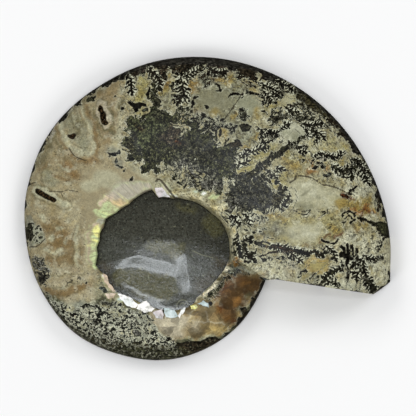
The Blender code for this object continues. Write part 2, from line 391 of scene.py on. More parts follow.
HONEY_ZONE = (  # outline of the honey chambers of the earlier turn
    -16, -31, -15, -37, -8, -39, 3, -38, 10, -32, 15, -26, 18, -21, 8, -19, -1, -27,
)
BIG_SADDLE = (  # outline of the big pale saddle at the right
    25, 1.5, 24.5, 6, 27, 8.5, 31, 8.5, 35, 6.5, 40, 5, 41, 2, 36, 0, 31, -0.8,
)
SEAM = (  # course of the seam of the last turn
    6.6, -16.4, 5, -18, 3.7, -19.9, 2.2, -22, 0.4, -24.1, -1.6, -25.9, -3.1, -27.1,
)
STAINS = (  # colour, strength, width of the soft edge, and shapes
    # Top: the saddles between the first frills.
    ("olive_cream", 1, 3, patch(-4, 27, -6, 33, -3, 40, 4, 41, 10, 39, 13, 36, 15, 30, 13, 24, 16, 20,
      10, 17, 6, 22, 2, 25)),
    ("grey_cream", 0.9, 3, oval(12, 31, 3.5, 3.5), oval(11.8, 21.5, 2.2, 1.6)),
    ("grey_cream", 0.4, 3, oval(2, 31.5, 4, 3)),
    ("yellow", 0.95, 1, oval(-19.2, 35, 4.4, 2.3, 90), oval(-12.2, 36.6, 1.6, 3.4, -28),
      oval(6.2, 38.6, 2.8, 1.5, 5), oval(-20.5, 27.5, 3, 1.6, 70)),
    ("olive_cream", 0.9, 1.2, oval(-12.2, 31.8, 2.6, 1.6, 60)),
    ("ochre", 0.9, 1.5, oval(-4.2, 36.8, 2.6, 1.5, 60), oval(-12.6, 37.5, 1.2, 2.4, -25),
      oval(11.8, 37.8, 1.8, 1, 20), oval(14, 36.3, 1.2, 0.7, -20), oval(14.8, 29, 0.9, 1.8, 10),
      oval(8, 28.5, 0.9, 1.6, -30), oval(4.6, 22, 1.6, 2, 20), oval(15.3, 21.3, 1.6, 0.9, 25),
      oval(11.5, 18.5, 1.8, 1, 20), oval(-7.4, 27.2, 1, 3.2, -20), oval(2, 28.8, 1.5, 1.2)),
    ("honey_light", 0.6, 1, oval(-2.2, 28.5, 1.6, 1.2), oval(8, 41.3, 1.6, 0.8, 10)),
    # Upper right: saddles between the big frills.
    ("yellow", 1, 2, patch(9, 10, 10, 13, 14, 17, 19, 20.5, 21, 19.5, 17.5, 15, 13.5, 11), patch(28, 15,
      29, 19, 31, 21.5, 35, 21.8, 41, 19.5, 42, 17, 37, 16, 32, 15.5), oval(24.5, 32.6, 3, 1.7, 30),
      oval(19.5, 30.3, 2.4, 1.3, 20)),
    ("pale_cream", 0.5, 1.5, oval(24.2, 32.6, 2, 1.3, 30), oval(39.5, 20, 1.6, 1.2)),
    ("grey_cream", 1, 3, patch(19, 19, 20, 22.5, 23, 25.5, 28, 26, 31, 24, 29, 20, 24, 18)),
    ("white", 0.45, 2, oval(22.5, 21, 2.5, 2), oval(26.5, 24, 2.5, 1.3)),
    ("ochre", 0.85, 1.5, oval(25.2, 13.4, 2.2, 1.6, -20), oval(38.2, 13.7, 3.4, 1.3),
      oval(29.5, 13.5, 1.2, 0.8)),
    ("yellow", 0.8, 1.5, oval(38, 13.7, 3, 1), oval(24.5, 16.2, 2, 1.2), oval(22, 8, 3, 2.4)),
    ("orange", 0.8, 1.2, oval(31.4, 10.8, 1.6, 0.8, 5), oval(36.4, 11.8, 0.9, 0.5), oval(31, 12.8, 0.6, 1)),
    ("lavender", 0.8, 1, oval(33.3, 15.2, 1.2, 0.8), oval(43.3, 16.4, 1.2, 0.6, -60)),
    # Right: the big pale saddle and the stains past it.
    ("pale_cream", 1, 4, patch(*BIG_SADDLE)),
    ("yellow", 0.5, 2, oval(29, 0.8, 3, 1.3), oval(38.5, 2.5, 2.4, 1.2)),
    ("olive_cream", 0.8, 1.5, oval(29, 0.4, 2.2, 1), oval(46.5, 4.6, 3, 1.2, -25),
      oval(50, 4.5, 1.2, 2.4, 15)),
    ("ochre", 1, 1.2, stroke(1.5, 39.5, 1.2, 43.5, 1.5, 48, 1.6, end=1.2), oval(41.4, 3.9, 1.6, 1)),
    ("orange", 1, 1, stroke(0.8, 44.5, -0.3, 47, -0.8, 50, -0.9), oval(41.4, 3.7, 1.1, 0.8),
      oval(46.5, -2.4, 1.6, 0.5, 30)),
    ("rust", 1, 0.8, oval(41.2, 3.7, 0.7, 0.6), oval(45.4, -0.6, 0.9, 0.35, 30),
      oval(48.4, -0.5, 1, 0.35, -20), oval(47.5, 0.9, 0.8, 0.3, -30)),
    # Lower right.
    ("yellow", 0.6, 3, patch(14, -4, 14, -9, 25, -11, 34, -10, 34, -4, 25, -2), patch(33, -1.5, 34, -9,
      39, -10, 40, -2), oval(49, -12, 5, 3.5), patch(14, -15, 13, -18, 20, -20, 30, -20, 30, -15)),
    ("olive_cream", 0.9, 2, oval(21.5, -7.2, 2.2, 1.6)),
    ("pale_cream", 1, 3, patch(24, -5.5, 25, -9.5, 31, -10, 34, -7.5, 33.5, -4.5, 28, -4.5),
      oval(44, -9, 3, 2.4), oval(51.5, -19.5, 3.2, 3.6)),
    ("olive_cream", 1, 2.5, patch(14, -5, 14.5, -8, 19, -8.6, 22.5, -7.5, 22, -5)),
    ("ochre", 0.8, 1.2, oval(19.3, -2.2, 1.6, 0.7), oval(22, -2.8, 1.8, 0.8), oval(37.6, -6.2, 1.5, 1.2),
      oval(45.6, -5.4, 2.4, 1.5, 20), oval(17.5, -8.7, 3, 0.5, -5)),
    ("ochre", 0.6, 1.2, oval(37.5, -6.4, 1.6, 1.2)),
    ("brown", 0.8, 1, oval(45.4, -6.2, 1.4, 0.7, 15), oval(38.8, -8, 1.4, 0.6, -60),
      oval(30, -11, 1.2, 0.5)),
    ("rust", 1, 0.7, stroke(0.45, 39.6, -7.2, 38.4, -8.8), stroke(0.3, 33.4, -9.2, 36.6, -8.5),
      oval(34.2, -3.6, 0.5, 0.4)),
    ("pale_cream", 0.9, 2, patch(4.5, -3, 6.5, -6, 8.5, -12, 9, -15, 13.5, -15, 14, -9, 12, -5, 8, -3),
      patch(5, -1.8, 9, -2.2, 17, -2.5, 17, -4.5, 8, -4.5)),
    ("honey_gold", 1, 1.6, oval(33, -17, 3.4, 2.4, -10)),
    ("yellow", 0.9, 1.5, oval(33.5, -18.8, 2.5, 1.2), oval(16.5, -17.2, 2.4, 1.2, -20)),
    ("honey_light", 0.8, 2, oval(24.8, -18.6, 1.8, 3)),
    ("white", 1, 1.6, stroke(0.8, 14.5, -18, 18, -19.3, 21.5, -20.4, end=0.4)),
    ("grey_cream", 1, 2, oval(42.5, -23.3, 3.8, 1.3, -5), oval(48.5, -17, 2.2, 1.2)),
    ("white", 0.4, 1.5, oval(41, -22.6, 2.5, 1)),
    ("olive_cream", 0.9, 1.2, oval(31.3, -21.2, 2, 1.6), oval(27.8, -19.5, 1, 1.6)),
    # The seam of the last turn on the one before it.
    ("brown", 0.9, 1, stroke(0.9, 6, -16.4, 9, -15.9, 12, -17.3, 14.5, -18.9, 17, -20.2, end=0.5)),
    ("slate", 0.95, 1, patch(5.2, -17.2, 8.5, -17.1, 12.5, -18.8, 13.5, -20.3, 10, -20, 5, -19.2)),
    # Left: brown bands across the shell wall.
    ("tan", 1, 2.5, patch(-57, -30, -57, 22, -42, 41, -27, 43, -24.5, 36, -24.5, 27, -25, 20, -24, 14.5,
      -20, 12.5, -15, 9, -16, 3, -24, -4, -31, -9, -33, -18, -31, -25, -38, -29.5, -44, -28.5, -49, -27)),
    ("brown", 0.55, 3, oval(-30, 35, 4, 3.5, 20), oval(-38.5, 24, 3, 7, 15), oval(-29.3, 20.8, 2.6, 2.6),
      oval(-27.6, 29.5, 1.4, 4.5, -8), oval(-27.5, 35.5, 1, 3)),
    ("brown", 0.9, 2.6, oval(-40.6, 11.6, 3.4, 1.8, -60), oval(-49, 12.3, 1.7, 1.2, 30),
      oval(-34.3, 14.3, 2.2, 1, 15), oval(-43.3, -9.6, 5, 2.6, -10), oval(-39, -14.5, 3.5, 3.4),
      oval(-48.2, -5.4, 1.2, 1.2), oval(-46.5, -15.8, 2.2, 0.8, -20)),
    ("brown", 1, 1.6, stroke(1.5, -48, -24.6, -44.5, -26.2, -40, -24.6, -36, -22.6, end=1), stroke(0.7,
      -42.3, 17.6, -39.6, 15.2, -36.6, 14.2), stroke(0.5, -33.6, 17, -33.9, 22, -35.5, 29),
      oval(-44, -10, 2, 1.5)),
    ("orange", 0.3, 2.4, oval(-41, 11.2, 2.6, 1.2, -60), oval(-34.3, 14.4, 1.6, 0.7, 15),
      oval(-43, -9, 2.6, 1.4), oval(-37.5, -23.4, 2.6, 0.9, 25), oval(-45.5, -16, 2, 0.8)),
    ("tan_light", 1, 2, patch(-44.5, 20.5, -41.5, 24, -37.6, 21.5, -36.2, 26.5, -34.6, 24.5, -34.2, 17.2,
      -36, 15.4, -39, 16.4, -42, 18.6), oval(-36, -14, 1.4, 7, 3), oval(-44.5, 5, 2.4, 0.7, -20), stroke(1.6,
      -47.5, -19.2, -42.5, -18.3, -36.5, -18.8), stroke(1.3, -46, -23.4, -41.5, -22.2, -36.5, -20.9),
      stroke(1.4, -42.5, -28, -38.5, -27, -34.5, -25), oval(-46.8, -13.4, 2.6, 0.9, -10),
      oval(-47, -8.6, 1.2, 1), oval(-49.4, -2.4, 1.6, 0.8, -35), oval(-41, -1.5, 3, 4, 20),
      oval(-45.6, 15.8, 1.2, 3.4, 35)),
    ("tan_light", 0.7, 1.2, stroke(0.6, -38.8, -7.5, -39, -12.5, -38.8, -18), oval(-42.5, -6, 1.6, 0.6, 20),
      oval(-43.6, -12.4, 1.6, 0.7)),
    ("grey_cream", 0.7, 2, oval(-47.3, 9, 2, 3, 20), oval(-37, 18.5, 1.6, 2.6),
      oval(-35, 26.5, 0.8, 2.4, 10), oval(-41.5, 26.8, 1.2, 2.6, -25), oval(-32.5, -25, 1.6, 3),
      oval(-31, -22.6, 1.2, 1)),
    ("pale_cream", 0.75, 1.6, stroke(1.1, -25.6, 35, -26.4, 31, -25.9, 26, -27.2, 21.8, -26, 17, -22.5, 12.8,
      -17.6, 9.2, -14.8, 7.4), oval(-27.8, 17.8, 1.6, 2.6), oval(-30, 8.8, 4.5, 2.6, -10),
      oval(-35, 6.8, 3, 1.8)),
    ("lavender", 0.65, 2, patch(-30, 3.6, -27, 7.5, -22, 8.4, -18, 6.6, -17.2, 5, -21, 3.6, -25, 2.6)),
    ("white", 0.55, 0.9, oval(-31, 27.9, 4.8, 1.9, 105), stroke(1.3, -51.5, 5.9, -45.4, 2.2, -41.4, 0.6,
      end=0.9), oval(-41.2, 21.2, 1.5, 1.3)),
    ("tan_light", 0.9, 0.8, oval(-43.4, 1.3, 2.2, 1, -28)),
    ("brown", 0.8, 0.8, oval(-28.4, 23.1, 1.5, 0.8, 10), stroke(0.35, -32.6, 31.9, -33.6, 27, -31.9, 23.2)),
    # Folds of the shell wall, from the top down.
    ("khaki", 0.65, 1, patch(-52.5, 14, -49.5, 19.5, -45.5, 25.5, -40.5, 31.5, -35, 35.6, -30.5, 38.6,
      -30, 36.5, -35.4, 32.5, -40.5, 28.5, -44.5, 22.5, -47.5, 16.5, -50, 12)),
    ("khaki", 0.75, 0.35, stroke(0.3, -37.4, 30.6, -36.4, 27.4, -37, 23.6), stroke(0.3, -39.6, 25.2,
      -38.4, 22.8, -37.2, 21.6), stroke(0.3, -34.2, 30.4, -33.4, 26, -32.2, 22.4, -30.8, 21), stroke(0.25,
      -29, 31.6, -28.4, 28.2, -28.8, 25.4), stroke(0.3, -45.4, 20.4, -43.6, 17.4, -43, 14.4)),
    ("lavender", 0.6, 1, stroke(0.5, -47.6, 21.4, -44.4, 26, -40.6, 30.4)),
    ("olive_cream", 0.7, 1, patch(-42, 24, -41, 21.5, -38.6, 19.2, -36, 18.4, -35.6, 21, -37.4, 27,
      -40, 28)),
    ("brown", 0.9, 0.9, stroke(0.5, -33.3, 16.4, -33, 20.5, -34.4, 26, -36.6, 31), stroke(0.6, -44.6, 13.6,
      -42.4, 12, -39.6, 10.6), stroke(0.5, -46, 10.4, -43.6, 8.8, -41.8, 8.2), stroke(0.3, -45.6, 26.6,
      -45.4, 23.4, -43.4, 19.4, -40.2, 15.9, -36.6, 14.2, -33.4, 14.6)),
    ("pale_cream", 0.8, 0.7, stroke(0.7, -43.9, 26.2, -43.8, 23.5, -42.2, 20.3, -39.4, 17.5, -36, 16.1,
      -34.4, 17.4, -34.5, 21.5, -36.4, 26.6, -38, 30.4, end=0.4), stroke(0.25, -40.8, 29.4, -39.5, 26,
      -39.2, 23), stroke(0.22, -38.9, 30, -38, 26, -37.6, 22.6), stroke(0.3, -46.8, 15.4, -44.4, 13.2,
      -41.6, 10.8)),
    ("khaki", 0.6, 0.5, stroke(0.22, -42.4, 23.6, -41.2, 20.9, -39, 18.8, -36.6, 17.8, -35.6, 19.8,
      -36.4, 24), stroke(0.22, -41.6, 29.6, -40.4, 26.6, -40.2, 23.8), stroke(0.2, -39.8, 30.6, -38.6, 27,
      -38.2, 23.6), stroke(0.2, -48.4, 20.6, -46.2, 17.4, -43.4, 14.4), stroke(0.2, -47.4, 20.4, -45.2, 16.6,
      -44.8, 15.4), stroke(0.2, -50.6, 15.4, -48.4, 13.4, -46.8, 12.6), stroke(0.25, -49.6, 10.4,
      -48.4, 11.6, -46.6, 10.4, -46.8, 8.4, -48.6, 7.6, -49.8, 8.8, -49.6, 10.4)),
    ("khaki", 1, 0.6, oval(-30.9, 27.9, 5.1, 2.5, 103), oval(-28.4, 22.8, 1.1, 0.8, 20)),
    ("honey_light", 1, 0.5, oval(-31, 28.1, 4.6, 2, 103), stroke(0.2, -30.4, 30.2, -25.4, 33.6)),
    ("pale_cream", 1, 0.6, stroke(1.6, -51, 5.6, -47, 3.6, -42.4, 1.2, end=0.8)),
    ("khaki", 0.8, 0.5, stroke(0.2, -53, 7.4, -49.4, 6.5, -45.6, 4.7, -42, 2.6, -40.9, 0.8), stroke(0.2,
      -52.8, 4.4, -49.4, 2.4, -45.4, 0.4, -42.4, -0.2, -40.9, 0.8)),
    ("brown", 0.4, 2.5, patch(-50.5, -3.5, -46, -2.6, -42, -4.5, -40.6, -7, -40.4, -14, -43, -17, -49, -16.6,
      -48.4, -9.6)),
    ("brown", 0.8, 1, oval(-42.6, -9.4, 1.3, 3, 5), stroke(0.5, -48.4, -14.8, -45.4, -15, -42.4, -14.6),
      stroke(0.5, -48.6, -5, -46.4, -6.4, -44.8, -4.6), stroke(0.5, -47.8, -10.8, -44.8, -10.6)),
    ("pale_cream", 0.8, 0.7, oval(-49.2, -2.7, 1.5, 0.7, -35), oval(-47, -8.7, 1.1, 0.8), stroke(0.55,
      -48.4, -12.4, -46.4, -13.2, -43.8, -12.4), oval(-44.4, -6.2, 1.2, 0.5, -10),
      oval(-42.3, -9.8, 0.5, 1.3), stroke(0.45, -39.2, -5.6, -39.5, -12, -39, -17.6)),
    ("khaki", 0.65, 0.5, stroke(0.2, -48.6, -9.9, -46.6, -10.4, -45.4, -8.8), stroke(0.2, -48, -14.2,
      -45.6, -14.7, -43.4, -13.7), stroke(0.2, -45.6, -4.6, -43.8, -7.2, -43.6, -10.4), stroke(0.18,
      -47.6, -16.4, -44.4, -15.8, -42.6, -16.6), stroke(0.2, -40.2, -6, -40.4, -12, -39.9, -17.6),
      stroke(0.15, -38.3, -5.2, -38.4, -12, -37.6, -18)),
    ("brown", 0.9, 0.9, stroke(0.9, -47.4, -24.9, -43.6, -25.2, -39.6, -23.9, -36.2, -22.9, end=0.5)),
    ("honey_light", 0.35, 0.8, stroke(0.9, -47.2, -19, -43, -18.4, -38.8, -18.8), stroke(0.8, -46.6, -22.7,
      -42.6, -21.6, -38.4, -20.7, -35, -20.3), stroke(1.1, -43.4, -27.4, -39, -26.7, -35.6, -24.9)),
    ("khaki", 0.65, 0.5, stroke(0.22, -48, -20.8, -44, -19.9, -40, -19.9, -36.5, -19.4), stroke(0.22,
      -47.6, -24, -43.2, -23.4, -39.2, -22.5, -35.4, -21.8), stroke(0.2, -46.6, -26.6, -41.4, -26,
      -36.6, -23.8)),
    ("slate", 0.5, 1.2, oval(-28.2, 16.8, 2.2, 1.2), oval(-26.6, 13.2, 1.2, 1.6, -30)),
    # The slate wedge and the marbled patch at the left edge.
    ("slate", 0.6, 0.8, patch(-54.8, -2.4, -52.5, -3.2, -49.6, -7, -48.5, -9.6, -50.6, -10.6, -53.2, -11.6,
      -54.6, -8)),
    ("grey_cream", 0.9, 0.8, patch(-53.2, -4.4, -51, -5.8, -49.2, -8.4, -49.4, -9.8, -52.6, -10.6)),
    ("pale_cream", 0.8, 1.2, oval(-13.6, 7.2, 1.2, 1), oval(-10.6, 6, 0.8, 1.6, 40)),
    ("pale_cream", 0.9, 1.5, patch(4.6, -2.4, 6, -2.2, 8, -5, 8.6, -7.4, 7, -8, 5.6, -5.2)),
    ("pale_cream", 0.6, 2.5, oval(49, -12, 3.5, 2.5), oval(51, -19, 2.5, 3), oval(22, 20.5, 2.6, 1.4),
      oval(37.6, 13.2, 2.4, 1), oval(24.2, 32.6, 2.6, 1.4, 30)),
    ("white", 0.7, 1, oval(19, -19.6, 1.6, 0.8, -8)),
    ("honey_gold", 0.8, 2, oval(33.2, -17, 3.4, 1.6, 5)),
    ("white", 0.5, 1.2, oval(31.6, 4.6, 1.8, 0.8, -35), oval(29.6, 7.2, 1.6, 0.6, 10),
      oval(36, 2.6, 2, 0.6, -20), oval(27, 3.4, 0.8, 1.6, 10), oval(30.5, -7.6, 2.6, 0.6, 8)),
    ("olive_cream", 0.7, 1, oval(33.6, 3.2, 1.2, 0.5, -40), oval(28.8, 4.6, 1.4, 0.5, 30),
      oval(27.4, -0.6, 1.6, 0.5, -15), oval(31.2, 0.2, 1.4, 0.4, 20), oval(25.2, -7.8, 1.8, 0.6, 5)),
    ("khaki", 0.8, 0.5, stroke(0.2, 26.4, -0.8, 27.8, -1.7, 29.4, -1.5, 30.8, -0.5), stroke(0.16, 27.6, 0.6,
      29.2, 1.2, 31, 0.8), stroke(0.15, 32.6, -0.4, 34.4, -0.8)),
    ("white", 0.4, 3, patch(40, -8, 47, -9, 55, -10, 55, -26, 30, -23, 14, -20.5, 10, -16, 24, -14.5,
      30, -20, 37, -20), patch(43, 4, 42, 9, 45, 12, 50, 8, 49, 4)),
    ("ochre", 0.9, 1.2, stroke(1.2, 39, 1, 43, 1.3, 47, 1.2, 50.4, -0.6, end=0.9),
      oval(46.2, -1.6, 2.2, 0.9, -10), oval(33.4, -17.2, 3.2, 1.7, 5), oval(19.4, -2.4, 1.8, 0.8)),
    ("orange", 1, 0.9, stroke(0.6, 43, 0.2, 46.4, -0.6, 49.6, -0.8), oval(48.8, 0.4, 1, 0.5, 20)),
    ("honey_gold", 0.5, 1.5, oval(33.2, -17.6, 3.4, 1.8, 5)),
    ("rust", 1, 0.6, oval(41.3, 3.6, 1.3, 0.9), stroke(0.35, 21, -12.7, 23.4, -12.9, 25, -12.7), stroke(0.35,
      45.4, -1.4, 47.4, -0.7, 49.4, -1.3)),
    ("white", 0.3, 3, oval(44, -12, 7, 4), oval(44, 8, 4, 3), oval(33, 18, 6, 3),
      oval(20, -17, 6, 1.6, -15)),
    ("yellow", 0.7, 1.2, oval(33.2, -17, 3, 1.5, 5)),
    ("orange", 0.35, 1.5, oval(-4, 36.6, 2.6, 1.6, 60), oval(5.2, 38.6, 3.2, 1.3, 5),
      oval(8.2, 41, 1.5, 0.8), oval(-12.4, 36.8, 1, 2.4, -25), oval(9.4, -16.4, 1.6, 0.6, -15),
      oval(31.2, 10.8, 1.4, 0.7)),
    ("brown", 0.4, 2, oval(-45, 15, 2.4, 1.8), oval(-41, -18, 3, 1.4), oval(-43, -9.2, 2.4, 1.4)),
    ("khaki", 0.3, 2.5, oval(21.5, -7, 3.4, 1.6), oval(-3.5, 10, 4, 2.6, -30), oval(1, 32, 6, 4),
      oval(24.5, -18.5, 2, 2)),
    ("olive_cream", 0.7, 1.5, oval(29.2, 1, 2.4, 1)),
    # Bottom: the frilled zone, and the honey chambers of the earlier turn.
    ("moss", 1, 2, patch(-48, -26, -42, -28.5, -36, -28, -30, -26.5, -22, -30, -16.5, -31, -15.5, -36,
      -9, -39.5, 4, -38, 15, -28, 13, -37, -2, -46, -18, -48, -34, -44, -44, -36)),
    ("olive_dark", 0.85, 4, patch(-50, -26, -44, -31, -38, -36, -33, -37.5, -29, -38.5, -24, -40.5,
      -17, -40.5, -11, -41, -2, -41, -2, -48, -20, -50, -36, -46, -48, -36)),
    ("white", 0.9, 2.5, patch(-43, -29, -37, -29, -31, -29.5, -24, -31.5, -17.5, -32.5, -16, -36, -12, -40,
      -20, -40, -28, -37, -36, -36.5)),
    ("grey", 0.9, 3, oval(-33.5, -36, 4.5, 2, -35), oval(-30.5, -28.3, 2.6, 0.9)),
    ("slate", 0.8, 3, oval(-36, -31, 4.5, 2.2, -30), oval(-20, -35.5, 4.5, 3, -30), oval(-28, -33, 3, 2)),
    ("yellow", 0.5, 3, oval(-38.5, -34, 3, 1.2, -35), oval(-28, -30.5, 3, 1)),
    ("honey", 1, 1, patch(-16.2, -30.8, -16.2, -34, -14.5, -36.7, -12, -38.5, -10, -39.2, -8, -39.4,
      -6, -38.6, -4, -39, -2, -38.6, 1.5, -38, 3.5, -38, 5, -36.8, 7, -36.4, 8.5, -35.2, 9.5, -33.7,
      10, -31.5, 11, -30, 12.5, -29.2, 13.2, -27.6, 14.5, -26.6, 16.5, -25, 18, -21.8, 14, -19.4, 8, -18.8,
      4.8, -18.8, 2.6, -22, -1, -27, -7, -28)),
    ("honey_light", 1, 2.6, patch(-16, -31.5, -15.6, -35.2, -12.5, -38, -7, -38.4, -2.5, -35, -3.5, -31,
      -9, -32), oval(13.2, -27.4, 1.2, 0.7, 35)),
    ("honey", 0.8, 2.5, oval(-1.5, -31.5, 3, 2.4), oval(-5.5, -36.6, 1.8, 2)),
    ("honey_gold", 1, 2, oval(2.5, -36.4, 3.6, 1.2, 8), oval(-4.6, -32.6, 0.8, 1.8, -20)),
    ("honey_dark", 1, 2.2, patch(3.5, -20.2, 2.5, -26, 3.5, -31.5, 6, -34.2, 9.2, -32.5, 10.5, -30,
      12.6, -28.4, 15.4, -25.2, 17.2, -21.6, 13.2, -20.4, 8, -19.8)),
    ("honey_red", 0.9, 1.6, oval(3.4, -29, 1, 2.2, 10), oval(8.2, -22, 2.4, 1, -10),
      oval(8, -34, 1.2, 0.8, 20), oval(5, -24, 0.8, 1.8, -20)),
    ("grey_cream", 0.8, 2, oval(2.2, -22.8, 2.6, 1.2, 55), oval(-1.2, -26.4, 1.4, 1, 50)),
    ("seam_yellow", 1, 0.8, stroke(0.9, -12, 4.4, -5, 3.4, 0, 1.6, 3.4, -1, 6.4, -5, 8, -10, 7.6, -14.8)),
    ("pale_cream", 1, 0.5, stroke(0.9, *SEAM)),
    ("khaki", 0.9, 1.4, oval(-25.5, 31, 0.9, 1.8), oval(-6.5, 28, 0.8, 2.6)),
    ("honey_gold", 0.8, 1.2, oval(9.5, -31.3, 1, 0.7, 60), oval(13, -28.3, 0.9, 0.5, 30),
      oval(12.2, -26.9, 0.8, 0.5)),
    ("honey_light", 0.8, 0.5, stroke(0.2, -4.8, -33.4, -1.2, -34.2, 3.6, -34, 5.2, -35.2), stroke(0.2,
      -0.6, -31.4, 0.5, -34.2), stroke(0.25, -8.6, -33.2, -4.6, -30.8, -3.2, -29.9)),
    ("brown", 0.8, 1, oval(-3.4, -31.8, 1.6, 0.9, 30), oval(1.8, -32.2, 1.2, 1.4, 20),
      oval(-1.5, -36.6, 1.6, 0.6, 10), oval(3.4, -27.8, 1.4, 1, 60), oval(-7, -31.6, 1.2, 0.7, -20)),
    ("orange", 0.55, 1.2, oval(5.8, -24.8, 1.2, 0.7, 30), oval(8.6, -27.8, 1, 1.6, -30),
      oval(6.2, -33.2, 1.2, 0.6, 30), oval(11.4, -22.4, 1.4, 0.5, 20), oval(2.6, -30.6, 0.7, 1)),
    ("khaki", 0.7, 1, oval(12.4, -26.2, 1.2, 0.8, 40), oval(9.4, -30, 0.7, 1, -30),
      oval(4.4, -21.4, 0.8, 1.2, -40)),
    ("seam_white", 1, 0.45, stroke(0.6, *SEAM)),
    ("khaki", 0.9, 0.3, stroke(0.06, 5.3, -17.9, 4, -19.8, 2.5, -21.9, 0.7, -24, -1.4, -25.9)),
    ("orange", 0.6, 1, stroke(0.5, 6.6, -16.2, 9, -16, 11.4, -17)),
    ("brown", 0.6, 0.8, stroke(0.6, 7.2, -16.4, 9.6, -16.4, 12.4, -17.8)),
    ("orange", 0.8, 0.8, oval(9, -16.6, 1.5, 0.7, -15)),
    ("white", 0.6, 1.5, oval(22, 20.6, 2.2, 1.2, 30)),
    ("pale_cream", 0.8, 0.8, patch(10.2, -16.2, 12.5, -16.4, 16, -18.6, 15.5, -20, 12, -18.3, 10.4, -17.6)),
    ("honey_dark", 0.9, 1, oval(8.3, -22, 2.4, 1, -15)),
    ("white", 0.8, 1.5, oval(-35.4, -31.6, 3.2, 1.7, -30), oval(-19.4, -35.6, 3, 1.6, -25)),
    ("khaki", 0.8, 1, oval(-25.4, 31.2, 0.9, 1.6, -10), oval(-38.6, 24.2, 1, 2.6, -10)),
)
